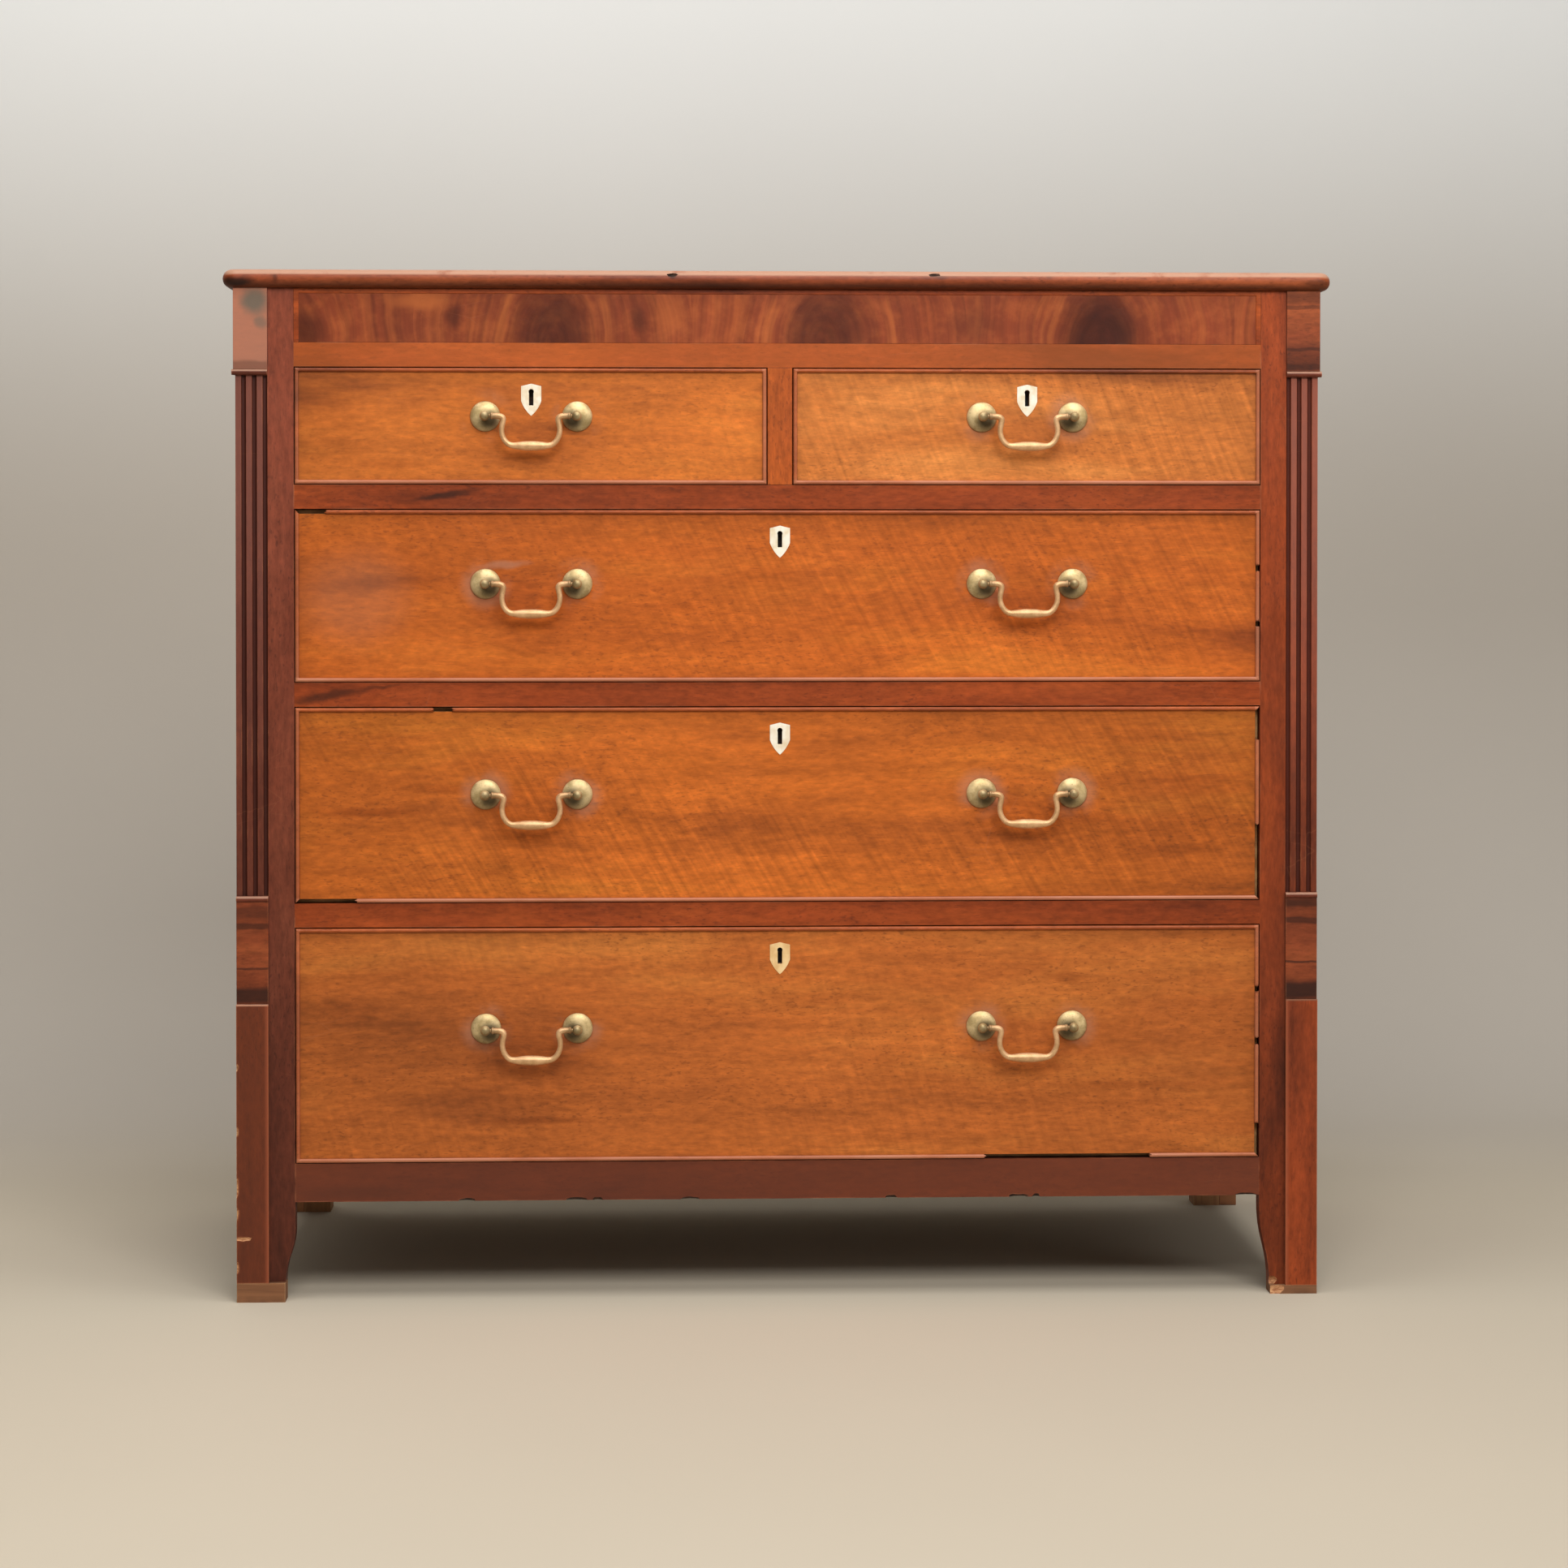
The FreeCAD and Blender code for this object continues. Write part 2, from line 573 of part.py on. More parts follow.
def dovetails(x0, x1, y_root, y_tip, z0, z1):
    """Row of dovetails on the end of a drawer side, also the shape of their sockets."""
    count = max(2, round((z1 - z0) / TAIL_PITCH))
    pitch = (z1 - z0) / count
    root = pitch * TAIL_ROOT_SHARE / 2
    tip = root + abs(y_tip - y_root) * TAIL_SLOPE
    tails = []
    for number in range(count):
        z = z0 + (number + 0.5) * pitch
        corners = [V(x0, y_root, z - root), V(x0, y_tip, z - tip),
                   V(x0, y_tip, z + tip), V(x0, y_root, z + root)]
        tails.append(prism(corners, V(x1 - x0, 0, 0)))
    return tails


def side_spans(drawer):
    """Where the two sides of a drawer lie, left then right."""
    return ((drawer.left, drawer.left + DRAWER_SIDE), (drawer.right - DRAWER_SIDE, drawer.right))


def front_tails(drawer):
    tails = []
    for x0, x1 in side_spans(drawer):
        tails += dovetails(x0, x1, Y_INNER, Y_INNER - TAIL_LENGTH, drawer.bottom, drawer.side_top)
    return tails


def back_tails(drawer):
    tails = []
    for x0, x1 in side_spans(drawer):
        tails += dovetails(x0, x1, Y_REAR - DRAWER_BACK, Y_REAR, drawer.panel_top, drawer.back_top)
    return tails


def drawer_panel(drawer):
    """Drawer bottom, grooved into the front and the sides and running under the back."""
    lap = DRAWER_SIDE - PANEL_GROOVE
    return block(drawer.left + lap, drawer.right - lap, Y_INNER - PANEL_GROOVE, Y_REAR,
                 drawer.panel, drawer.panel_top)


def drawer_box(drawer):
    """Two sides, a back and a bottom, dovetailed together."""
    panel = drawer_panel(drawer)
    back = block(drawer.left, drawer.right, Y_REAR - DRAWER_BACK, Y_REAR,
                 drawer.panel_top, drawer.back_top).cut(back_tails(drawer))
    pieces = []
    tails = front_tails(drawer)
    per_side = len(tails) // 2
    for number, (x0, x1) in enumerate(side_spans(drawer)):
        side = block(x0, x1, Y_INNER, Y_REAR, drawer.floor + RUN_CLEARANCE, drawer.side_top)
        side = side.fuse(tails[number * per_side:(number + 1) * per_side]).removeSplitter()
        pieces.append(side.cut([panel, back]))
    return pieces + [back, panel]


def drawer_front(drawer):
    """Front with rebates for its beads, and sockets, holes and pockets for what it carries."""
    front = block(drawer.left, drawer.right, Y_FACE, Y_INNER, drawer.bottom, drawer.top)
    y1 = Y_FACE + BEAD_DEPTH
    rim = block(drawer.left - REACH, drawer.right + REACH, Y_FACE - REACH, y1,
                drawer.bottom - REACH, drawer.top + REACH)
    field = block(drawer.left + BEAD_WIDTH, drawer.right - BEAD_WIDTH, Y_FACE - REACH, y1,
                  drawer.bottom + BEAD_WIDTH, drawer.top - BEAD_WIDTH)
    front = front.cut(rim.cut(field))
    front = front.cut(front_tails(drawer) + [drawer_panel(drawer)])
    front = front.cut([lock_body(drawer), keyhole(drawer, Y_FACE - REACH, Y_LOCK),
                       shield(drawer, SHIELD_INLAY, 0.0)])
    radius = POST_RADIUS + POST_HOLE_CLEARANCE
    holes = [Part.makeCylinder(radius, FRONT_THICKNESS + 2 * REACH, V(x, Y_FACE - REACH, z), V(0, 1, 0))
             for x, z in post_places(drawer)]
    return front.cut(holes)


def drawer_beads(drawer):
    """Four cock beads round the front, with round noses and mitred corners."""
    nose = BEAD_WIDTH / 2
    y_tip = Y_FACE - BEAD_PROUD
    y_end = Y_FACE + BEAD_DEPTH
    x0, x1, z0, z1 = drawer.left, drawer.right, drawer.bottom, drawer.top

    def strip(corner, across, along):
        """Bead with its outer edge on a corner, its width across and its length along."""
        root = V(corner.x, y_end, corner.z)
        neck = V(corner.x, y_tip + nose, corner.z)
        tip = V(corner.x, y_tip, corner.z) + across * 0.5
        section = [line(root, neck), arc(neck, tip, neck + across),
                   line(neck + across, root + across), line(root + across, root)]
        return push(section, along)

    def mitre(outer_a, outer_b, inward):
        """Keeps what lies between the two mitres at the ends of a bead."""
        run = (outer_b - outer_a).normalize()
        low = V(0, y_tip - REACH, 0)
        spread = (run + inward) * (BEAD_WIDTH + REACH)
        back = (inward - run) * (BEAD_WIDTH + REACH)
        start = (run + inward) * REACH
        end = (inward - run) * REACH
        corners = [outer_a - start, outer_b - end, outer_b + back, outer_a + spread]
        return prism([corner + low for corner in corners], V(0, BEAD_DEPTH + BEAD_PROUD + 2 * REACH, 0))

    right = V(1, 0, 0)
    up = V(0, 0, 1)
    beads = []
    for z, inward in ((z0, up), (z1, -up)):
        bead = strip(V(x0, 0, z), inward * BEAD_WIDTH, right * (x1 - x0))
        beads.append(bead.common(mitre(V(x0, 0, z), V(x1, 0, z), inward)))
    for x, inward in ((x0, right), (x1, -right)):
        bead = strip(V(x, 0, z0), inward * BEAD_WIDTH, up * (z1 - z0))
        beads.append(bead.common(mitre(V(x, 0, z0), V(x, 0, z1), inward)))
    return beads


def post_places(drawer):
    """Middles of all the handle posts on a drawer."""
    return [(drawer.middle + offset + side * HANDLE_CENTRES / 2, drawer.handle_level)
            for offset in drawer.handles.values() for side in SIDES]


def rosette(x, z):
    """Turned backplate: a rounded rim, a sunk ring and a collar round the post."""
    hole = POST_RADIUS + POST_HOLE_CLEARANCE
    crown = COLLAR_RADIUS + (ROSETTE_RADIUS - COLLAR_RADIUS) * ROSETTE_CROWN_SHARE
    rim = crown + (ROSETTE_RADIUS - crown) * ROSETTE_RIM_SHARE
    floor = ROSETTE_HEIGHT - ROSETTE_DISH

    def at(radius, height):
        return V(x + radius, Y_FACE - height, z)

    round_over = at(rim, ROSETTE_HEIGHT * ROSETTE_RIM_FULLNESS)
    hollow = at((crown + COLLAR_RADIUS) / 2, floor + ROSETTE_DISH * ROSETTE_DISH_FULLNESS)
    section = [
        line(at(hole, 0), at(ROSETTE_RADIUS, 0)),
        line(at(ROSETTE_RADIUS, 0), at(ROSETTE_RADIUS, ROSETTE_EDGE)),
        arc(at(ROSETTE_RADIUS, ROSETTE_EDGE), round_over, at(crown, ROSETTE_HEIGHT)),
        arc(at(crown, ROSETTE_HEIGHT), hollow, at(COLLAR_RADIUS, floor)),
        line(at(COLLAR_RADIUS, floor), at(COLLAR_RADIUS, COLLAR_HEIGHT)),
        line(at(COLLAR_RADIUS, COLLAR_HEIGHT), at(hole, COLLAR_HEIGHT)),
        line(at(hole, COLLAR_HEIGHT), at(hole, 0)),
    ]
    return turned(section, V(x, Y_FACE, z), V(0, 1, 0))


def handle_post(x, z):
    """Threaded post with a round head that is bored across for the bail's pin."""
    y_end = Y_INNER + NUT_THICKNESS + THREAD_END
    stem = Part.makeCylinder(POST_RADIUS, y_end - Y_PIN, V(x, Y_PIN, z), V(0, 1, 0))
    head = Part.makeSphere(POST_HEAD_RADIUS, V(x, Y_PIN, z))
    reach = POST_HEAD_RADIUS + REACH
    bore = Part.makeCylinder(PIN_RADIUS + PIN_CLEARANCE, 2 * reach, V(x - reach, Y_PIN, z), V(1, 0, 0))
    return stem.fuse(head).cut(bore)


def post_nut(x, z):
    """Six-sided nut behind the drawer front."""
    radius = NUT_FLATS / math.sqrt(3)
    corners = [V(x + radius * math.cos(math.radians(60 * k)), Y_INNER,
                 z + radius * math.sin(math.radians(60 * k))) for k in range(6)]
    nut = prism(corners, V(0, NUT_THICKNESS, 0))
    hole = Part.makeCylinder(POST_RADIUS + POST_HOLE_CLEARANCE / 2, NUT_THICKNESS + 2 * REACH,
                             V(x, Y_INNER - REACH, z), V(0, 1, 0))
    return nut.cut(hole)


def handle_mounts(drawer):
    """Rosette, post and nut at each end of each handle."""
    pieces = []
    for x, z in post_places(drawer):
        pieces += [rosette(x, z), handle_post(x, z), post_nut(x, z)]
    return pieces


def rounded_path(points, radii):
    """Wire of straight runs with a tangent arc at each inner point."""
    edges = []
    last = points[0]
    for before, corner, after, radius in zip(points, points[1:], points[2:], radii):
        back = (before - corner).normalize()
        ahead = (after - corner).normalize()
        half = back.getAngle(ahead) / 2
        start = corner + back * (radius / math.tan(half))
        end = corner + ahead * (radius / math.tan(half))
        middle = (back + ahead).normalize() * (radius / math.sin(half) - radius)
        edges += [line(last, start), arc(start, corner + middle, end)]
        last = end
    return Part.Wire(edges + [line(last, points[-1])])


def bail(x, z):
    """Swan-neck drop handle: a swelling grip, two curled arms and the pins in the posts."""
    half = HANDLE_CENTRES / 2
    shoulder = half - POST_HEAD_RADIUS - HEAD_TO_SHOULDER
    grip_z = z - GRIP_DROP
    axis = V(1, 0, 0)
    left_end = V(x - GRIP_HALF, Y_PIN, grip_z)
    right_end = V(x + GRIP_HALF, Y_PIN, grip_z)
    out = V(0, -ARM_RADIUS, 0)
    swell = V(x, Y_PIN - GRIP_RADIUS, grip_z)
    section = [line(left_end, left_end + out), arc(left_end + out, swell, right_end + out),
               line(right_end + out, right_end), line(right_end, left_end)]
    arm = ((shoulder, 0), (CURL_X, 0), (BOW_X, BOW_DROP),
           (GRIP_CORNER_X, GRIP_DROP), (GRIP_HALF, GRIP_DROP))
    pieces = []
    for side in SIDES:
        points = [V(x + side * reach, Y_PIN, z - drop) for reach, drop in arm]
        path = rounded_path(points, (CURL_ROUND, BOW_ROUND, GRIP_CORNER_ROUND))
        ring = Part.Wire(Part.makeCircle(ARM_RADIUS, points[0], axis))
        pieces.append(path.makePipeShell([ring], True, False))
        pin_length = half + PIN_PAST_MIDDLE - shoulder
        pieces.append(Part.makeCylinder(PIN_RADIUS, pin_length, points[0], axis * side))
    return turned(section, left_end, axis).fuse(pieces)


def keyhole(drawer, y0, y1):
    """Keyhole with a round top and a straight slot, from one depth to another."""
    z = drawer.peak - KEYHOLE_DROP
    round_part = Part.makeCylinder(KEYHOLE_RADIUS, y1 - y0, V(drawer.middle, y0, z), V(0, 1, 0))
    slot = block(drawer.middle - KEYHOLE_SLOT / 2, drawer.middle + KEYHOLE_SLOT / 2, y0, y1,
                 z + KEYHOLE_RADIUS - KEYHOLE_HEIGHT, z)
    return round_part.fuse(slot)


def shield(drawer, sunk, proud):
    """Shield outline with a low peak and a pointed foot, let into the drawer face."""
    half = SHIELD_WIDTH / 2

    def at(across, down):
        return V(drawer.middle + across, Y_FACE - proud, drawer.peak - down)

    tip = at(0, SHIELD_HEIGHT)
    belly = SHIELD_CHEEK + (SHIELD_HEIGHT - SHIELD_CHEEK) * SHIELD_BELLY_SHARE
    belly_half = half * SHIELD_BELLY_WIDTH
    edges = [
        line(at(0, 0), at(half, SHIELD_SHOULDER)),
        line(at(half, SHIELD_SHOULDER), at(half, SHIELD_CHEEK)),
        arc(at(half, SHIELD_CHEEK), at(belly_half, belly), tip),
        arc(tip, at(-belly_half, belly), at(-half, SHIELD_CHEEK)),
        line(at(-half, SHIELD_CHEEK), at(-half, SHIELD_SHOULDER)),
        line(at(-half, SHIELD_SHOULDER), at(0, 0)),
    ]
    return push(edges, V(0, sunk + proud, 0))


def escutcheon(drawer):
    plate = shield(drawer, SHIELD_INLAY, SHIELD_THICKNESS - SHIELD_INLAY)
    return plate.cut(keyhole(drawer, Y_FACE - REACH, Y_FACE + REACH))


def lock_body(drawer):
    """Lock case, flush with the top and the inner face of the drawer front."""
    return block(drawer.middle - LOCK_WIDTH / 2, drawer.middle + LOCK_WIDTH / 2, Y_LOCK, Y_INNER,
                 drawer.top - LOCK_HEIGHT, drawer.top)


def bolt_span(drawer, clearance, top):
    """Block round the withdrawn bolt, with a clearance on its sides and foot, up to a given top."""
    half = BOLT_WIDTH / 2 + clearance
    foot = drawer.top - BOLT_SINK - BOLT_HEIGHT - clearance
    return block(drawer.middle - half, drawer.middle + half, Y_BOLT - clearance,
                 Y_BOLT + BOLT_THICKNESS + clearance, foot, top)


def lock_bolt(drawer):
    """Bolt, drawn back into the lock."""
    return bolt_span(drawer, 0.0, drawer.top - BOLT_SINK)


def lock_case(drawer):
    """Lock case with the bolt's channel open at the top and a keyhole in its front plate."""
    channel = bolt_span(drawer, BOLT_CLEARANCE, drawer.top + REACH)
    key = keyhole(drawer, Y_LOCK - REACH, Y_LOCK + KEYHOLE_IN_LOCK)
    return lock_body(drawer).cut([channel, key])


def build_carcase():
    mortises = rail_tenons()
    save("top_board", [top_board()])
    save("side_panels", [side_panel(side) for side in SIDES])
    save("rear_posts", [rear_post(side) for side in SIDES])
    save("back_boards", back_boards())
    save("left_corner_post", [corner_post(LEFT, mortises)])
    save("right_corner_post", [corner_post(RIGHT, mortises)])
    save("corner_blocks", [post_facing(side, BLOCK_PROUD, PLINTH_HEIGHT, Z_BASE_BLOCK) for side in SIDES]
         + [cap_block(side) for side in SIDES])
    save("corner_astragals", [front_astragal(side, Z_BASE_BLOCK, 0) for side in SIDES]
         + [upper_astragal(side) for side in SIDES])
    save("plinth_facings", [post_facing(side, PLINTH_PROUD, FEET[side][0], PLINTH_HEIGHT)
                            for side in SIDES])
    save("foot_pads", [foot_pad(side) for side in SIDES])
    save("frieze_panel", [frieze_panel()])
    save("front_rails", front_rails())
    save("centre_divider", [centre_divider()])
    save("carcase_bottom", [carcase_bottom()])
    save("runners_and_guides", runners_and_guides())
    save("drawer_stops", drawer_stops())
    save("glue_blocks", glue_blocks())


def build_drawer(drawer):
    save(drawer.name + "_drawer_front", [drawer_front(drawer)])
    save(drawer.name + "_cock_beads", drawer_beads(drawer))
    save(drawer.name + "_drawer_box", drawer_box(drawer))
    save(drawer.name + "_handle_mounts", handle_mounts(drawer))
    save(drawer.name + "_escutcheon", [escutcheon(drawer)])
    save(drawer.name + "_lock_case", [lock_case(drawer)])
    save(drawer.name + "_lock_bolt", [lock_bolt(drawer)])
    for which, offset in drawer.handles.items():
        name = "_".join(part for part in (drawer.name, "bail", which) if part)
        save(name, [bail(drawer.middle + offset, drawer.handle_level)])


def main():
    os.makedirs("parts", exist_ok=True)
    build_carcase()
    for drawer in DRAWERS:
        build_drawer(drawer)


if __name__ == "__main__":
    main()
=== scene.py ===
# Chest of drawers with fluted corner posts: worn mahogany veneer, brass drop handles, bone escutcheons.
# Metres, +Z up. The front faces -Y, and the origin is on the floor under the middle of the chest.
import bmesh
import bpy
import json
import math
import random
from mathutils import Matrix, Vector


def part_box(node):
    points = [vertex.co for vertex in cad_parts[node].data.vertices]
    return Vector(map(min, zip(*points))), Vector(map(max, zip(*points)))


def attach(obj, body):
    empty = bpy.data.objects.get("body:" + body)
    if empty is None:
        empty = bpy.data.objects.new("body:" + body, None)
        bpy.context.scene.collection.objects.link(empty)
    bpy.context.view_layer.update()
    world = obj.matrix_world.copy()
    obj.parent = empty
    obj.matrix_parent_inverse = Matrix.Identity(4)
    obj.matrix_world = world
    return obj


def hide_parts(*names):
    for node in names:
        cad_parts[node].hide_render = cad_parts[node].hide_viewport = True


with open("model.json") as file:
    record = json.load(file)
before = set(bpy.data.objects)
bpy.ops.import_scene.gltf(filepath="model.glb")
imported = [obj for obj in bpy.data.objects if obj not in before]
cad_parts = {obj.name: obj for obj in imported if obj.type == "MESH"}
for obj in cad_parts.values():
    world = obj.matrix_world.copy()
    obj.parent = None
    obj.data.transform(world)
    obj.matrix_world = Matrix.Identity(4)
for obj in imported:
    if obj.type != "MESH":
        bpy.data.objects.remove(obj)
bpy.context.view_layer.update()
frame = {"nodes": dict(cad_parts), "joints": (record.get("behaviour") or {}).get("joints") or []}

MM = 0.001
DRAWERS = ("short_left", "short_right", "upper", "middle", "lower")
BAIL_PIVOTS = {j["child"]: Vector(j["pos_m"]) for j in frame["joints"] if j["name"].endswith("_swing")}
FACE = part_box("upper_drawer_front")[0].y  # faces of the drawer fronts
RAIL_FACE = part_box("front_rails")[0].y  # faces of the rails and stiles
CASE_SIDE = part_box("right_corner_post")[1].x  # outside of the case
FLUTED_WIDTH = 33.0 * MM  # fluted strip on the front of a corner post
FLUTED_FROM = CASE_SIDE - FLUTED_WIDTH  # inner edge of that strip
PLINTH_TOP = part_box("plinth_facings")[1].z  # ledge over the long plinths
FLUTE_LAND = 6.0 * MM  # flat on the outer side of each flute
PIN_REACH = FACE - BAIL_PIVOTS["short_left_bail"].y  # drawer face to the axis of the bails
HANDLE_MIDDLE = BAIL_PIVOTS["short_right_bail"].x  # handles from the middle of the chest
POST_SPREAD = 47.5 * MM  # a post from the middle of its handle
VENEER = 1.2 * MM  # sawn veneer on the drawer fronts
BEAD_WIDTH = 4.0 * MM
BELOW_TOP_RAIL, AT_TOP_RAIL = 0.93, 0.96  # levels between which the look of the upper case begins
MID_HEIGHT = 0.64  # level at which a post has its own colour


def bails_of(drawer):
    """Names and pivots of a drawer's bails."""
    return {name: pivot for name, pivot in BAIL_PIVOTS.items() if name.startswith(drawer)}


def pin_level(drawer):
    """Height of the pins of a drawer's bails."""
    return next(iter(bails_of(drawer).values())).z


def tint(red, green, blue):
    """Colour given as it looks, 0 to 255, turned into the light values that shaders take."""
    def light(value):
        share = value / 255
        return share / 12.92 if share <= 0.04045 else ((share + 0.055) / 1.055) ** 2.4
    return light(red), light(green), light(blue), 1.0


class Nodes:
    """Short ways to add and join the nodes of one material or node group."""

    def __init__(self, tree):
        self.tree = tree

    def feed(self, socket, value):
        if isinstance(value, bpy.types.NodeSocket):
            self.tree.links.new(value, socket)
        else:
            socket.default_value = value

    def add(self, kind, inputs=None, **settings):
        node = self.tree.nodes.new("ShaderNode" + kind)
        for key, value in settings.items():
            setattr(node, key, value)
        for key, value in (inputs or {}).items():
            self.feed(node.inputs[key], value)
        return node

    def use(self, group, place, **inputs):
        return self.add("Group", {"Place": place, **inputs}, node_tree=group).outputs

    def maths(self, operation, a, b=0.0, clamp=False):
        return self.add("Math", {0: a, 1: b}, operation=operation, use_clamp=clamp).outputs[0]

    def times(self, a, b):
        return self.maths("MULTIPLY", a, b)

    def plus(self, a, b):
        return self.maths("ADD", a, b)

    def minus(self, a, b):
        return self.maths("SUBTRACT", a, b)

    def larger(self, a, b):
        return self.maths("MAXIMUM", a, b)

    def absolute(self, a):
        return self.maths("ABSOLUTE", a)

    def vector(self, operation, a, b):
        return self.add("VectorMath", {0: a, 1: b}, operation=operation).outputs[0]

    def length(self, a):
        return self.add("VectorMath", {0: a}, operation="LENGTH").outputs["Value"]

    def scaled(self, colour, share):
        return self.add("VectorMath", {0: colour, 3: share}, operation="SCALE").outputs[0]

    def split(self, place):
        return self.add("SeparateXYZ", {0: place}).outputs

    def join(self, x, y, z):
        return self.add("CombineXYZ", {0: x, 1: y, 2: z}).outputs[0]

    def spread(self, value, low, high, start=0.0, end=1.0):
        """Smooth step of a value from low to high, also where low is the larger."""
        return self.add("MapRange", {0: value, 1: low, 2: high, 3: start, 4: end},
                        interpolation_type="SMOOTHSTEP").outputs[0]

    def noise(self, place, scale=1.0, detail=2.0, rough=0.5):
        return self.add("TexNoise", {"Vector": place, "Scale": scale, "Detail": detail,
                                               "Roughness": rough}).outputs[0]

    def stretched(self, place, scale, detail=2.0, rough=0.5):
        """Noise with a scale of its own along each axis."""
        return self.noise(self.vector("MULTIPLY", place, scale), 1.0, detail, rough)

    def strayed(self, place, scale, reach):
        """Place pushed about by noise, so that a pattern's lines wander."""
        cloud = self.add("TexNoise", {"Vector": place, "Scale": scale, "Detail": 2.0}).outputs[1]
        push = self.vector("SUBTRACT", cloud, (0.5, 0.5, 0.5))
        return self.vector("ADD", place, self.vector("MULTIPLY", push, reach))

    def mix(self, share, a, b):
        return self.add("Mix", {0: share, 6: a, 7: b}, data_type="RGBA").outputs[2]

    def swing(self, value, share):
        """Factor about one from a value about one half."""
        return self.add("Math", {0: self.minus(value, 0.5), 1: share, 2: 1.0},
                        operation="MULTIPLY_ADD").outputs[0]

    def surface(self, shader, colour, rough, relief, strength, depth):
        """Gives a shader its colour, its roughness and a relief of some depth."""
        bump = self.add("Bump", {"Strength": strength, "Distance": depth, "Height": relief})
        self.feed(shader["Base Color"], colour)
        self.feed(shader["Roughness"], rough)
        self.feed(shader["Normal"], bump.outputs[0])


def new_group(name, inputs, outputs):
    """Shader group that is given a place: the group, its nodes, the place, its inputs and its outputs."""
    group = bpy.data.node_groups.new(name, "ShaderNodeTree")
    for way, sockets in (("INPUT", {"Place": "Vector", **inputs}), ("OUTPUT", outputs)):
        for label, kind in sockets.items():
            group.interface.new_socket(label, in_out=way, socket_type="NodeSocket" + kind)
    given = group.nodes.new("NodeGroupInput").outputs
    return group, Nodes(group), given["Place"], given, group.nodes.new("NodeGroupOutput").inputs


# Shader groups


def mahogany_grain():
    """Figure of sawn mahogany with its grain along X: colour zones, streaks, mottle, ripple and pores."""
    group, n, place, given, taken = new_group(
        "mahogany_grain",
        {"Pale": "Color", "Ground": "Color", "Dark": "Color", "Zones": "Float", "Streaks": "Float",
         "Pores": "Float", "Ripple": "Float", "Lean": "Float"},
        {"Color": "Color", "Pores": "Float"})
    grain = n.strayed(place, 3.0, (0.0, 0.03, 0.03))

    def drawn_out(along, across, detail, rough=0.5):
        return n.stretched(grain, (along, across, across), detail, rough)

    zone = drawn_out(1.8, 11.0, 6.0, 0.62)
    zone = n.plus(n.times(n.minus(zone, 0.5), given["Zones"]), 0.5)
    colour = n.mix(n.spread(zone, 0.22, 0.5), given["Dark"], given["Ground"])
    colour = n.mix(n.spread(zone, 0.48, 0.8), colour, given["Pale"])

    ribbon = drawn_out(5.0, 62.0, 4.0, 0.6)
    fibre = drawn_out(58.0, 240.0, 3.0, 0.6)
    lines = n.plus(n.times(ribbon, 0.55), n.times(fibre, 0.45))
    colour = n.scaled(colour, n.swing(lines, n.times(given["Streaks"], 3.0)))

    mottle = drawn_out(85.0, 200.0, 3.0, 0.6)
    colour = n.scaled(colour, n.swing(mottle, 0.8))

    x, y, z = n.split(grain)
    leaned = n.join(n.plus(x, n.times(z, given["Lean"])), y, z)
    wave = n.stretched(leaned, (190.0, 9.0, 9.0), 3.0)
    patch = n.spread(drawn_out(2.2, 4.5, 1.0), 0.38, 0.62)
    colour = n.scaled(colour, n.swing(wave, n.times(patch, given["Ripple"])))

    fleck = n.spread(drawn_out(170.0, 420.0, 1.0), 0.57, 0.74)
    fleck = n.times(fleck, n.spread(drawn_out(6.0, 17.0, 3.0), 0.36, 0.62, 0.15, 1.0))
    pore = n.spread(drawn_out(75.0, 1150.0, 2.0), 0.58, 0.78)
    pore = n.times(n.larger(pore, fleck), given["Pores"])
    n.feed(taken["Color"], n.mix(n.times(pore, 0.6), colour, n.scaled(given["Dark"], 0.52)))
    n.feed(taken["Pores"], pore)
    return group


def pine_grain():
    """Raw pine with its grain along X: late-wood lines, fibres, knots and the grey of age."""
    group, n, place, given, taken = new_group(
        "pine_grain",
        {"Pale": "Color", "Dark": "Color", "Age": "Color", "Rings": "Float"},
        {"Color": "Color", "Late": "Float"})
    x, y, z = n.split(n.strayed(place, 2.2, (0.0, 0.06, 0.06)))
    lines = n.join(n.times(x, 1.3), n.times(y, given["Rings"]), n.times(z, given["Rings"]))
    late = n.spread(n.noise(lines, 1.0, 3.0, 0.55), 0.48, 0.68)
    fibre = n.stretched(place, (14.0, 420.0, 420.0), 3.0, 0.6)
    colour = n.mix(n.times(late, 0.7), given["Pale"], given["Dark"])
    colour = n.scaled(colour, n.swing(fibre, 0.5))
    knots = n.add("TexVoronoi", {"Vector": n.vector("MULTIPLY", place, (2.6, 6.5, 6.5)),
                                           "Scale": 1.0})
    knot = n.spread(knots.outputs["Distance"], 0.13, 0.05)
    colour = n.mix(n.times(knot, 0.8), colour, given["Dark"])
    grey = n.spread(n.noise(place, 5.0, 4.0, 0.6), 0.42, 0.75)
    n.feed(taken["Color"], n.mix(n.times(grey, 0.55), colour, given["Age"]))
    n.feed(taken["Late"], n.larger(late, knot))
    return group


def worn_arris():
    """Where hands and knocks have rubbed the polish off an edge."""
    group, n, place, given, taken = new_group(
        "worn_arris", {"Width": "Float", "Amount": "Float"}, {"Wear": "Float"})
    rounded = n.add("Bevel", {"Radius": given["Width"]}, samples=6).outputs[0]
    straight = n.add("NewGeometry").outputs["Normal"]
    match = n.add("VectorMath", {0: rounded, 1: straight}, operation="DOT_PRODUCT")
    patchy = n.noise(place, 26.0, 4.0, 0.65)
    reach = n.minus(n.plus(patchy, given["Amount"]), 0.5)
    n.feed(taken["Wear"], n.times(n.spread(match.outputs["Value"], 0.995, 0.86), n.spread(reach, 0.28, 0.55)))
    return group


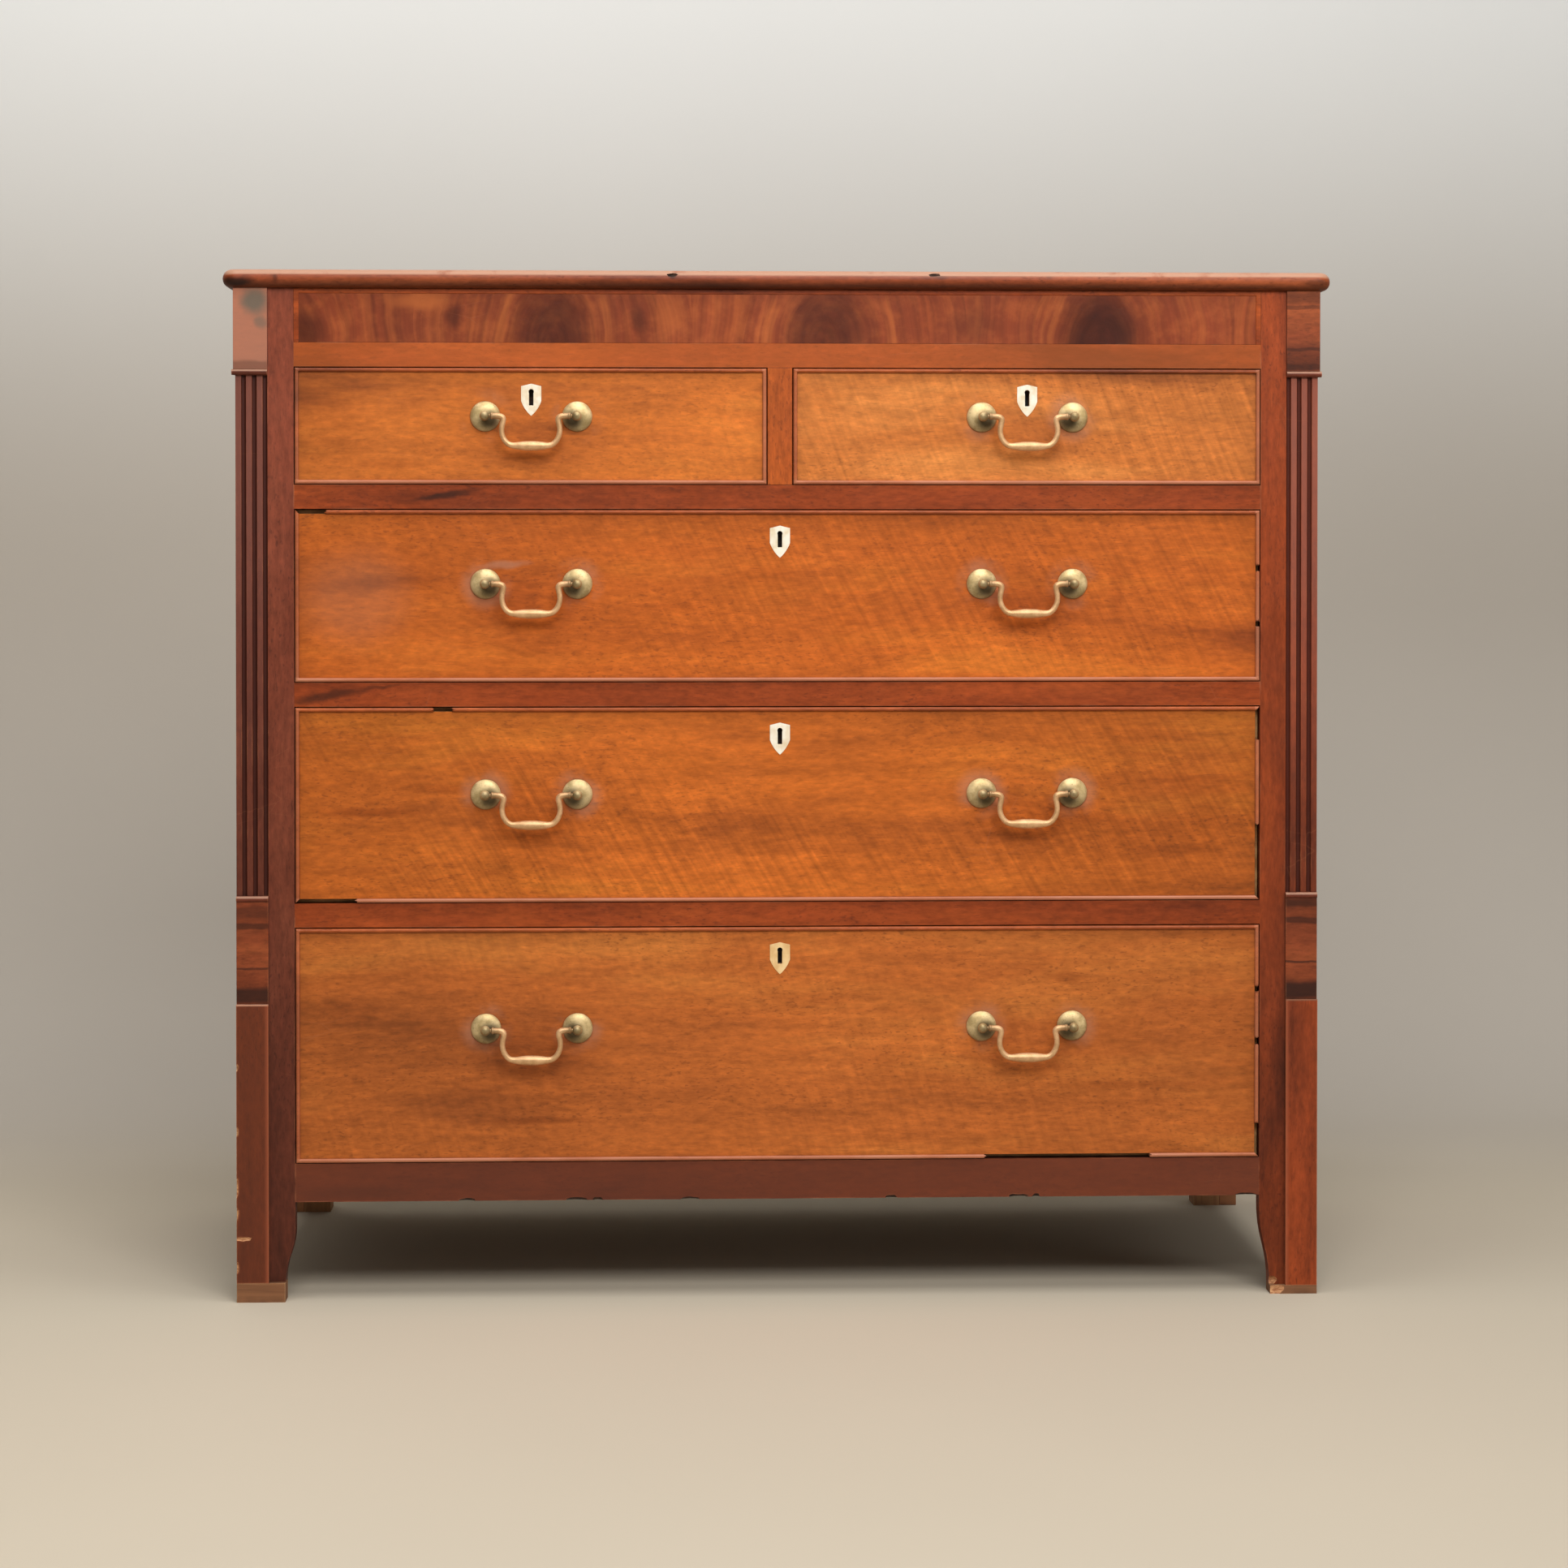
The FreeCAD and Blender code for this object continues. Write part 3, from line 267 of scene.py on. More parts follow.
def settled_grime():
    """Old wax and dust that gathers in corners and round fittings, with painted shade in the same corners and
    recesses, from ambient occlusion.
    """
    group, n, place, given, taken = new_group("settled_grime", {"Reach": "Float"}, {"Grime_and_shade": "Float"})
    open_air = n.add("AmbientOcclusion", {"Distance": given["Reach"]}, samples=8).outputs["AO"]
    patchy = n.noise(place, 45.0, 4.0, 0.6)
    n.feed(taken["Grime_and_shade"], n.times(n.spread(open_air, 0.92, 0.35), n.spread(patchy, 0.2, 0.7)))
    return group


def upward_highlight():
    """Painted highlight on the slopes that face up: bead tops, ledges and the upper round of the top."""
    group, n, place, given, taken = new_group("upward_highlight", {"Start": "Float"}, {"Highlight": "Float"})
    up = n.split(n.add("NewGeometry").outputs["Normal"])[2]
    full = n.plus(given["Start"], 0.3)
    slope = n.times(n.spread(up, given["Start"], full), n.spread(up, 0.998, 0.96))
    n.feed(taken["Highlight"], n.times(slope, n.spread(n.noise(place, 38.0, 4.0, 0.6), 0.12, 0.45)))
    return group


def old_bruises():
    """Fine scratches, dents and dull spots of long use."""
    group, n, place, _, taken = new_group(
        "old_bruises", {}, {"Scratches": "Float", "Dents": "Float", "Dullness": "Float"})
    bent = n.vector("MULTIPLY", n.strayed(place, 6.0, (0.06, 0.06, 0.06)), (9.0, 9.0, 31.0))
    lines = n.add("TexVoronoi", {"Vector": bent, "Scale": 1.0},
                  feature="DISTANCE_TO_EDGE").outputs["Distance"]
    some = n.spread(n.noise(place, 9.0, 3.0), 0.56, 0.7)
    n.feed(taken["Scratches"], n.times(n.spread(lines, 0.012, 0.0), some))
    n.feed(taken["Dents"], n.spread(n.noise(place, 75.0, 2.0), 0.68, 0.8))
    n.feed(taken["Dullness"], n.noise(place, 13.0, 5.0, 0.65))
    return group


def rubbed_round_handles():
    """Polish haze round a drawer's rosettes, and the darker patch that fingers leave behind its grips."""
    haze_full, haze_end = 16.0 * MM, 32.0 * MM
    touch_full, touch_end, touch_squat, grip_drop = 30.0 * MM, 85.0 * MM, 1.7, 22.0 * MM
    group, n, place, given, taken = new_group(
        "rubbed_round_handles", {"Level": "Float"}, {"Haze": "Float", "Touch": "Float"})
    x, _, z = n.split(place)
    from_middle = n.minus(n.absolute(x), HANDLE_MIDDLE)
    across = n.minus(n.absolute(from_middle), POST_SPREAD)
    above = n.minus(z, given["Level"])
    patchy = n.noise(place, 21.0, 4.0, 0.6)
    ring = n.spread(n.length(n.join(across, 0.0, above)), haze_end, haze_full)
    n.feed(taken["Haze"], n.times(ring, n.spread(patchy, 0.4, 0.66)))
    lower = n.times(n.plus(above, grip_drop), touch_squat)
    grip = n.spread(n.length(n.join(from_middle, 0.0, lower)), touch_end, touch_full)
    n.feed(taken["Touch"], n.times(grip, n.spread(patchy, 0.25, 0.6)))
    return group


def brass_tarnish():
    """Tarnish on brass: brighter where it is handled, brown in the hollows."""
    group, n, place, given, taken = new_group(
        "brass_tarnish", {"Bright": "Color", "Aged": "Color", "Brown": "Color"},
        {"Color": "Color", "Dullness": "Float"})
    mottle = n.noise(place, 95.0, 4.0, 0.6)
    specks = n.spread(n.noise(place, 620.0, 2.0), 0.6, 0.75)
    colour = n.mix(n.spread(mottle, 0.35, 0.65), given["Aged"], given["Bright"])
    hollow = n.add("AmbientOcclusion", {"Distance": 6.0 * MM}, samples=8).outputs["AO"]
    brown = n.larger(n.spread(hollow, 0.85, 0.35), n.times(specks, 0.4))
    n.feed(taken["Color"], n.mix(n.times(brown, 0.85), colour, given["Brown"]))
    n.feed(taken["Dullness"], n.plus(n.times(mottle, 0.25), n.times(brown, 0.25)))
    return group


MAHOGANY = mahogany_grain()
PINE = pine_grain()
WORN = worn_arris()
GRIME_AND_SHADE = settled_grime()
UPWARD_HIGHLIGHT = upward_highlight()
BRUISES = old_bruises()
RUBBED = rubbed_round_handles()
TARNISH = brass_tarnish()


# Materials

# Brown of grime and stains, also put in corners and recesses as painted shade
GRIME_AND_SHADE_BROWN = tint(40, 22, 14)
BARE_WOOD = tint(176, 108, 72)
# Pink of the painted highlight on slopes that face up
HIGHLIGHT_PINK = tint(184, 140, 114)
POLISH_HAZE = tint(176, 124, 98)


def pine_colours(pale, dark, age):
    return {"Pale": tint(*pale), "Dark": tint(*dark), "Age": tint(*age)}


class Figure:
    """Colours and strength of figure of one mahogany."""

    def __init__(self, pale, ground, dark, zones=1.3, streaks=0.5, pores=0.7, ripple=0.4, lean=0.3):
        self.sockets = {"Pale": tint(*pale), "Ground": tint(*ground), "Dark": tint(*dark), "Zones": zones,
                        "Streaks": streaks, "Pores": pores, "Ripple": ripple, "Lean": lean}


PINE_COLOURS = pine_colours((190, 146, 96), (142, 92, 50), (120, 92, 66))
RAIL_FIGURE = Figure((164, 76, 30), (140, 60, 24), (92, 38, 18), zones=1.4, ripple=0.15)


def new_material(name):
    """Material, its nodes, the inputs of its shader, and the place on the piece."""
    material = bpy.data.materials.new(name)
    material.use_nodes = True
    n = Nodes(material.node_tree)
    shader = material.node_tree.nodes["Principled BSDF"].inputs
    return material, n, shader, n.add("TexCoord").outputs["Object"]


def turned_place(n, place, grain):
    """Place with the grain brought to X. It lies along x, stands along z or runs back along y."""
    if grain == "x":
        return place
    turn = {"z": (0.0, math.pi / 2, 0.0), "y": (0.0, 0.0, -math.pi / 2)}[grain]
    return n.add("Mapping", {"Vector": place, "Rotation": turn}).outputs[0]


def by_side(n, x, left, right):
    """One value on the left of the chest and another on its right."""
    return n.spread(x, -0.1, 0.1, left, right)


def patches(n, place, marks):
    """Soft patches seen from the front: (x, z, half length, half height, tilt, strength), in millimetres."""
    ragged = n.strayed(place, 70.0, (0.012, 0.0, 0.006))
    mask = None
    for x, z, length, height, tilt, strength in marks:
        inside = n.add("Mapping", {
            "Vector": ragged, "Location": (x * MM, 0.0, z * MM), "Rotation": (0.0, -math.radians(tilt), 0.0),
            "Scale": (length * MM, 10.0, height * MM)}, vector_type="TEXTURE").outputs[0]
        patch = n.spread(n.length(inside), 1.0, 0.25, 0.0, strength)
        mask = patch if mask is None else n.larger(mask, patch)
    return mask


def polish(n, shader, place, colour, pores, gloss, wear=0.35, wear_width=2.2 * MM, grime=0.75, bloom=0.0,
           bloom_start=0.15):
    """Worn french polish over a wood colour: rubbed edges, grime with painted shade in corners and recesses,
    a painted highlight on slopes that face up, scratches, roughness and relief.
    """
    worn = n.use(WORN, place, Width=wear_width, Amount=wear)["Wear"]
    dirt_and_shade = n.use(GRIME_AND_SHADE, place, Reach=11.0 * MM)["Grime_and_shade"]
    marks = n.use(BRUISES, place)
    colour = n.mix(n.times(worn, 0.6), colour, BARE_WOOD)
    if bloom:
        # Painted highlight on the slopes that face up
        painted_highlight = n.use(UPWARD_HIGHLIGHT, place, Start=bloom_start)["Highlight"]
        colour = n.mix(n.times(painted_highlight, bloom), colour, HIGHLIGHT_PINK)
    # Grime, and painted shade in corners and recesses
    colour = n.mix(n.times(dirt_and_shade, grime), colour, GRIME_AND_SHADE_BROWN)
    colour = n.mix(n.times(marks["Scratches"], 0.15), colour, BARE_WOOD)
    rough = n.plus(n.times(marks["Dullness"], 0.26), gloss - 0.13)
    rough = n.plus(rough, n.times(n.larger(pores, worn), 0.16))
    rough = n.maths("ADD", rough, n.times(dirt_and_shade, 0.2), clamp=True)
    relief = n.plus(n.times(pores, -0.6), n.times(marks["Dents"], -1.0))
    n.surface(shader, colour, rough, n.minus(relief, marks["Scratches"]), 0.35, 0.12 * MM)
    shader["Specular IOR Level"].default_value = 0.22


def mahogany(name, figure, grain="x", gloss=0.42, rise=0.0, marks=(), tone=None, **wear):
    """Mahogany of the case. Rise makes it lighter towards the top, and marks are dark streaks and stains."""
    material, n, shader, place = new_material(name)
    wood = n.use(MAHOGANY, turned_place(n, place, grain), **figure.sockets)
    colour = wood["Color"]
    if rise:
        height = n.minus(n.split(place)[2], MID_HEIGHT)
        colour = n.scaled(colour, n.larger(n.plus(n.times(height, rise), 1.0), 0.6))
    if marks:
        colour = n.mix(patches(n, place, marks), colour, GRIME_AND_SHADE_BROWN)
    if tone:
        colour = tone(n, place, colour)
    polish(n, shader, place, colour, wood["Pores"], gloss, **wear)
    return material


def fluted(n, place, colour):
    """Painted shade in the flutes with some grime, and painted highlight on the flats between them, stronger
    higher up, on the fluted strip of a corner post; the strip on the left gets more painted shade.
    """
    highlight_from, highlight_full = 0.45, 0.9
    x, y, z = n.split(place)
    side = n.absolute(x)
    depth = n.minus(y, RAIL_FACE)
    on_strip = n.spread(side, FLUTED_FROM - 0.2 * MM, FLUTED_FROM + 0.2 * MM)
    flat = n.times(n.spread(depth, 0.5 * MM, 0.1 * MM), on_strip)
    # Painted highlight on the flats, stronger higher up
    painted_highlight = n.times(flat, n.spread(z, highlight_from, highlight_full, 0.06, 0.6))
    colour = n.mix(painted_highlight, colour, tint(142, 90, 78))
    last_land = CASE_SIDE - FLUTE_LAND
    on_flutes = n.times(on_strip, n.spread(side, last_land + 0.8 * MM, last_land + 0.4 * MM))
    # Painted shade inside the flutes, with some grime
    hollow = n.times(n.spread(depth, 0.1 * MM, 1.5 * MM), on_flutes)
    colour = n.mix(n.times(hollow, 0.85), colour, tint(64, 22, 15))
    # Painted shade over the whole strip on the left post
    left_strip_shade = n.times(on_strip, by_side(n, x, 0.28, 0.0))
    return n.scaled(colour, n.minus(1.0, left_strip_shade))


def cross_banded(n, place, colour):
    """Dark lines of the cross-grained corner blocks: (level, half height, strength), in millimetres. The left
    caps carry a painted pale reflection, with a painted grey reflection near their top.
    """
    lines = {"left": ((404, 9, 0.45), (390, 4, 0.6), (346, 1.6, 0.6), (318, 11, 0.85), (970, 7, 0.4)),
             "right": ((411, 6, 0.6), (392, 5, 0.65), (348, 1.8, 0.7), (319, 13, 0.9), (1043, 9, 0.45),
                       (1033, 3, 0.5), (980, 24, 0.42), (989, 2.5, 0.5), (971, 4, 0.5))}
    x, _, z = n.split(n.strayed(place, 45.0, (0.0, 0.0, 5.0 * MM)))
    on_right = n.maths("GREATER_THAN", x, 0.0)
    on_left = n.minus(1.0, on_right)
    below_caps, on_caps = 0.9, 0.95
    colour = n.scaled(colour, n.spread(n.times(on_right, z), below_caps, on_caps, 1.0, 0.82))
    # Painted pale reflection on the left caps
    left_cap_reflection = n.times(on_left, n.spread(z, BELOW_TOP_RAIL, AT_TOP_RAIL, 0.0, 0.75))
    colour = n.mix(left_cap_reflection, colour, tint(180, 122, 98))
    for here, levels in ((on_left, lines["left"]), (on_right, lines["right"])):
        for level, half, strength in levels:
            away = n.absolute(n.minus(z, level * MM))
            line = n.times(n.spread(away, half * MM, half * 0.4 * MM), strength)
            colour = n.mix(n.times(line, here), colour, tint(44, 24, 18))
    # Painted grey reflection near the top of the left cap
    grey = patches(n, place, ((-543, 1036, 20, 21, 0, 0.9), (-537, 1016, 9, 12, 30, 0.6)))
    return n.mix(grey, colour, tint(104, 97, 84))


def darker_below(n, place, colour):
    """The lower round of the top, which no light reaches."""
    up = n.split(n.add("NewGeometry").outputs["Normal"])[2]
    return n.scaled(colour, n.spread(up, -0.75, 0.1, 0.42, 1.0))


def rail_tones(n, place, colour):
    """Paler top rail and browner apron."""
    above_apron, on_apron = 0.2, 0.15
    z = n.split(place)[2]
    colour = n.scaled(colour, n.spread(z, BELOW_TOP_RAIL, AT_TOP_RAIL, 1.0, 1.3))
    colour = n.mix(n.spread(z, BELOW_TOP_RAIL, AT_TOP_RAIL, 0.0, 0.4), colour, tint(180, 95, 38))
    return n.mix(n.spread(z, above_apron, on_apron, 0.0, 0.75), colour, tint(92, 50, 36))


def plinth_tones(n, place, colour):
    """Redder right plinth, and a rubbed inner edge and ledge on both."""
    x, _, z = n.split(place)
    colour = n.mix(by_side(n, x, 0.5, 0.0), colour, tint(100, 58, 42))
    colour = n.scaled(colour, by_side(n, x, 0.74, 1.25))
    inner_edge = n.spread(n.absolute(x), FLUTED_FROM + 5.0 * MM, FLUTED_FROM + 1.0 * MM, 0.0, 0.6)
    colour = n.mix(inner_edge, colour, tint(156, 80, 52))
    ledge = n.spread(z, PLINTH_TOP - 2.0 * MM, PLINTH_TOP - 0.5 * MM, 0.0, 0.85)
    return n.mix(ledge, colour, n.mix(by_side(n, x, 0.0, 1.0), tint(216, 164, 136), tint(126, 90, 72)))


def lit_rear_feet(n, place, colour):
    """Painted light on the rear feet below the case, which stand in its shade, more on the left one."""
    under_case, near_floor = 0.15, 0.05
    x, _, z = n.split(place)
    # Paler wood as painted light on the feet under the case, more on the left
    foot_light = n.mix(by_side(n, x, 0.0, 1.0), tint(186, 126, 84), tint(152, 99, 64))
    return n.mix(n.spread(z, under_case, near_floor, 0.0, 0.85), colour, foot_light)


def bead_highlight_and_wear(drawer):
    """Painted highlight along the bottom of a drawer's cock bead, and a little up its sides, broken up in
    patches by rubbed wear.
    """
    low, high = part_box(drawer + "_cock_beads")
    outer, inner = BEAD_WIDTH + 0.5 * MM, BEAD_WIDTH + 1.0 * MM

    def tone(n, place, colour):
        x, _, z = n.split(place)
        patchy = n.stretched(place, (9.0, 60.0, 9.0), 4.0, 0.6)
        rubbed = n.spread(patchy, 0.3, 0.6, 0.4, 0.9)
        bottom = n.spread(z, low.z + inner, low.z + outer)
        right = n.spread(x, high.x - inner, high.x - outer, 0.0, 0.6)
        left = n.spread(x, low.x + inner, low.x + outer, 0.0, 0.35)
        # Painted highlight on the bottom bead and the sides, broken up by rubbed wear
        pale = n.times(n.larger(bottom, n.larger(left, right)), rubbed)
        return n.mix(pale, colour, tint(190, 124, 94))
    return tone


def drawer_veneer(drawer, figure, light, dark=(), haze=()):
    """Veneers a drawer front: figured face over a pine ground, rubbed and hazed round its handles.

    Its light is how much the colour gains to the right, to the top and in the middle.
    """
    shaded_edge = 28.0 * MM
    material, n, shader, place = new_material(drawer + "_veneer")
    low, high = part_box(drawer + "_drawer_front")
    width, height = high.x - low.x, high.z - low.z
    wood = n.use(MAHOGANY, place, **figure.sockets)
    x, y, z = n.split(place)
    to_right, to_top, in_middle = light
    from_middle = n.minus(x, (low.x + high.x) / 2)
    lean_x = n.times(from_middle, to_right / width)
    lean_z = n.times(n.minus(z, (low.z + high.z) / 2), to_top / height)
    aside = n.absolute(from_middle)
    paler = n.spread(aside, width / 2, 0.0, 1.0 - in_middle / 2, 1.0 + in_middle / 2)
    colour = n.scaled(wood["Color"], n.plus(n.plus(lean_x, lean_z), paler))
    from_edge = n.maths("MINIMUM", n.minus(width / 2, aside), n.minus(high.z, z))
    colour = n.scaled(colour, n.spread(from_edge, 0.0, shaded_edge, 0.87, 1.02))
    rubbed = n.use(RUBBED, place, Level=pin_level(drawer))
    shade = n.vector("MULTIPLY", colour, (0.54, 0.44, 0.36))
    colour = n.mix(n.times(rubbed["Touch"], 0.4), colour, shade)
    if dark:
        colour = n.mix(patches(n, place, dark), colour, shade)
    colour = n.mix(n.times(rubbed["Haze"], 0.45), colour, POLISH_HAZE)
    if haze:
        colour = n.mix(patches(n, place, haze), colour, POLISH_HAZE)
    pine = n.use(PINE, place, Rings=80.0, **PINE_COLOURS)
    behind = n.spread(y, FACE + VENEER, FACE + VENEER + 0.2 * MM)
    colour = n.mix(behind, colour, pine["Color"])
    polish(n, shader, place, colour, wood["Pores"], 0.45, wear=0.1, grime=0.5)
    finish_with(material, drawer + "_drawer_front")


def frieze_flame():
    """Flame veneer of the frieze: leaves with tall dark arches and fanned streaks, inside a plain border."""
    leaf, border = 284.0 * MM, 5.0 * MM
    first_arch, arch_reach, arch_squat = -236.0 * MM, 44.0 * MM, 0.72
    joints = ((-424, -0.1), (-128, 0.16), (8, -0.02))
    dark_clouds = ((-486, 1008, 22, 26, 20, 0.5), (-338, 1021, 13, 17, -20, 0.6),
                   (-146, 1018, 13, 20, 20, 0.5), (200, 1014, 40, 24, 0, 0.3))
    pale_clouds = ((-372, 1038, 42, 14, 0, 0.75), (-112, 1024, 20, 26, 15, 0.4))
    low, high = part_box("frieze_panel")
    ground, pale, dark = tint(131, 58, 30), tint(180, 96, 46), tint(60, 22, 11)
    material, n, shader, place = new_material("frieze_flame")
    x, _, z = n.split(n.strayed(place, 10.0, (24.0 * MM, 0.0, 12.0 * MM)))
    turn = n.plus(n.maths("DIVIDE", n.minus(x, first_arch), leaf), 0.5)
    number = n.times(n.maths("FLOOR", turn), 5.3)
    across = n.times(n.minus(n.maths("FRACT", turn), 0.5), leaf)
    up = n.times(n.minus(z, low.z), arch_squat)
    far = n.length(n.join(across, 0.0, up))
    bearing = n.maths("DIVIDE", across, n.plus(far, 0.02))

    def fan(fine, along, detail):
        return n.noise(n.join(n.times(far, fine), number, n.times(bearing, along)), 1.0, detail)

    arch = n.spread(far, arch_reach + 16.0 * MM, arch_reach - 24.0 * MM)
    flank = n.times(n.spread(far, arch_reach - 2.0 * MM, arch_reach + 16.0 * MM),
                    n.spread(far, arch_reach + 50.0 * MM, arch_reach + 18.0 * MM))
    mottle = n.noise(place, 48.0, 4.0, 0.6)
    colour = n.mix(n.spread(mottle, 0.4, 0.72, 0.0, 0.3), ground, pale)
    streak = n.spread(fan(75.0, 2.0, 3.0), 0.44, 0.68)
    colour = n.mix(n.times(streak, n.spread(flank, 0.0, 1.0, 0.3, 0.7)), colour, pale)
    darker_right = n.spread(x, 120.0 * MM, 250.0 * MM, 0.7, 0.95)
    colour = n.mix(n.times(arch, darker_right), colour, dark)
    colour = n.scaled(colour, n.swing(fan(170.0, 3.0, 4.0), 0.9))
    colour = n.scaled(colour, n.swing(mottle, 0.3))
    along, _, height = n.split(place)
    for joint, step in joints:
        beyond = n.spread(along, (joint - 0.3) * MM, (joint + 0.3) * MM, 1.0, 1.0 + step)
        colour = n.scaled(colour, beyond)
    colour = n.mix(patches(n, place, dark_clouds), colour, dark)
    colour = n.mix(patches(n, place, pale_clouds), colour, pale)
    plain = n.use(MAHOGANY, place, **RAIL_FIGURE.sockets)
    inside = n.times(n.spread(n.absolute(along), high.x - border, high.x - border - 0.5 * MM),
                     n.spread(height, high.z - border, high.z - border - 0.5 * MM))
    colour = n.mix(inside, plain["Color"], colour)
    polish(n, shader, place, colour, plain["Pores"], 0.4, wear=0.3)
    return material


def raw_pine(name, grain="x", rings=80.0, colours=PINE_COLOURS, by_face=False):
    """Raw pine of the hidden pieces. A drawer box has its sides along y, and its back and bottom along x."""
    material, n, shader, place = new_material(name)
    along = turned_place(n, place, grain)
    if by_face:
        sideways = n.split(n.add("TexCoord").outputs["Normal"])[0]
        side = n.maths("GREATER_THAN", n.absolute(sideways), 0.5)
        along = n.add("Mix", {0: side, 4: place, 5: turned_place(n, place, "y")},
                      data_type="VECTOR").outputs[1]
    wood = n.use(PINE, along, Rings=rings, **colours)
    # Grime, and painted shade in corners and recesses
    dirt_and_shade = n.use(GRIME_AND_SHADE, place, Reach=18.0 * MM)["Grime_and_shade"]
    worn = n.use(WORN, place, Width=2.0 * MM, Amount=0.4)["Wear"]
    colour = n.mix(n.times(dirt_and_shade, 0.5), wood["Color"], GRIME_AND_SHADE_BROWN)
    colour = n.mix(n.times(worn, 0.4), colour, tint(206, 168, 122))
    saw = n.stretched(along, (160.0, 700.0, 700.0))
    relief = n.plus(n.times(wood["Late"], 0.5), saw)
    n.surface(shader, colour, n.plus(n.times(saw, 0.2), 0.62), relief, 0.4, 0.15 * MM)
    shader["Specular IOR Level"].default_value = 0.3
    return material


def broken_wood(name, fresh, dirty):
    """Torn fibres inside a chip."""
    material, n, shader, place = new_material(name)
    fibre = n.stretched(place, (160.0, 400.0, 700.0), 4.0, 0.65)
    colour = n.mix(n.spread(fibre, 0.35, 0.65), tint(*dirty), tint(*fresh))
    n.surface(shader, colour, n.plus(n.times(fibre, 0.2), 0.7), fibre, 0.6, 0.4 * MM)
    return material


def old_brass(name, bright, aged, brown, level):
    """Dull old brass of a drawer's handles, with painted shade on the lower half of the plates, and dark
    tarnish with a painted shadow of the knobs round the posts, below the pins' level.
    """
    shadow_and_tarnish_in, shadow_and_tarnish_drop, shadow_and_tarnish_full, shadow_and_tarnish_end = 4.5 * MM, 3.5 * MM, 4.0 * MM, 14.0 * MM
    material, n, shader, place = new_material(name)
    bright, aged, brown = tint(*bright), tint(*aged), tint(*brown)
    metal = n.use(TARNISH, place, Bright=bright, Aged=aged, Brown=brown)
    x, y, z = n.split(place)
    from_middle = n.minus(n.absolute(x), HANDLE_MIDDLE)
    aside = n.minus(n.absolute(from_middle), POST_SPREAD - shadow_and_tarnish_in)
    above = n.minus(z, level - shadow_and_tarnish_drop)
    # Dark tarnish round each post, with a painted shadow of its knob below it
    shadow_and_tarnish = n.spread(n.length(n.join(aside, 0.0, above)), shadow_and_tarnish_end, shadow_and_tarnish_full)
    on_plate = n.spread(y, FACE - 10.0 * MM, FACE - 7.0 * MM)
    low_shade = n.times(on_plate, n.spread(z, level + 6.0 * MM, level - 13.0 * MM, 0.0, 0.38))
    colour = n.scaled(metal["Color"], n.minus(1.0, low_shade))
    colour = n.mix(n.times(shadow_and_tarnish, n.spread(on_plate, 0.0, 1.0, 0.6, 0.9)), colour, brown)
    n.surface(shader, colour, n.plus(metal["Dullness"], 0.36), n.noise(place, 900.0), 0.25, 0.08 * MM)
    shader["Metallic"].default_value = 0.5
    return material


def old_bone(name, pale, yellowed):
    """Bone shield with fine streaks down its length, yellowed in patches."""
    material, n, shader, place = new_material(name)
    streak = n.stretched(place, (900.0, 900.0, 70.0), 3.0)
    colour = n.mix(n.spread(n.noise(place, 90.0, 3.0), 0.35, 0.75), tint(*pale), tint(*yellowed))
    colour = n.scaled(colour, n.swing(streak, 0.16))
    # Grime, and painted shade in the shield's hollows and where it meets the front
    dirt_and_shade = n.use(GRIME_AND_SHADE, place, Reach=3.0 * MM)["Grime_and_shade"]
    colour = n.mix(n.times(dirt_and_shade, 0.7), colour, tint(110, 82, 52))
    n.surface(shader, colour, n.plus(n.times(streak, 0.2), 0.34), streak, 0.2, 0.05 * MM)
    return material


def dark_iron(name):
    """Lock iron with rust in patches."""
    material, n, shader, place = new_material(name)
    rust = n.spread(n.noise(place, 85.0, 5.0, 0.65), 0.48, 0.66)
    colour = n.mix(rust, tint(52, 49, 47), tint(98, 58, 36))
    n.surface(shader, colour, n.plus(n.times(rust, 0.3), 0.45), n.noise(place, 1400.0, 3.0), 0.4, 0.1 * MM)
    n.feed(shader["Metallic"], n.minus(0.9, n.times(rust, 0.8)))
    return material


# Shapes


def add_object(name, data):
    thing = bpy.data.objects.new(name, data)
    bpy.context.scene.collection.objects.link(thing)
    return thing


def add_mesh(name, build, closed=True):
    """New object from a function that fills a mesh. The faces of a closed shape are turned outwards."""
    form = bmesh.new()
    build(form)
    if closed:
        bmesh.ops.recalc_face_normals(form, faces=form.faces)
    mesh = bpy.data.meshes.new(name)
    form.to_mesh(mesh)
    form.free()
    return add_object(name, mesh)


def knock(form, centre, reach, seed):
    """Lumpy hollow that a knock leaves: its middle and its reach along x, y and z, in millimetres."""
    rng = random.Random(seed)
    middle = Vector(centre) * MM
    size = Matrix.Diagonal(Vector(reach) * MM).to_4x4()
    place = Matrix.Translation(middle) @ size
    lump = bmesh.ops.create_icosphere(form, subdivisions=2, radius=1.0, matrix=place)
    for vertex in lump["verts"]:
        vertex.co = middle + (vertex.co - middle) * rng.uniform(0.72, 1.1)


def chip_out(node, material, places):
    """Takes chips out of a piece of the case with a hidden shape: (middle, reach) pairs, in millimetres."""
    def build(form):
        for seed, (centre, reach) in enumerate(places):
            knock(form, centre, reach, seed)

    lumps = add_mesh(node + "_breaks", build)
    lumps.data.materials.append(material)
    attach(lumps, "carcase")
    lumps.hide_render = True
    lumps.display_type = "WIRE"
    cut = frame["nodes"][node].modifiers.new("breaks", "BOOLEAN")
    cut.operation = "DIFFERENCE"
    cut.solver = "EXACT"
    cut.material_mode = "TRANSFER"
    cut.object = lumps


def join_corners(node):
    """Joins the corners of a piece's faces, so that its edges can be worked."""
    weld = frame["nodes"][node].modifiers.new("joined", "WELD")
    weld.merge_threshold = 0.01 * MM


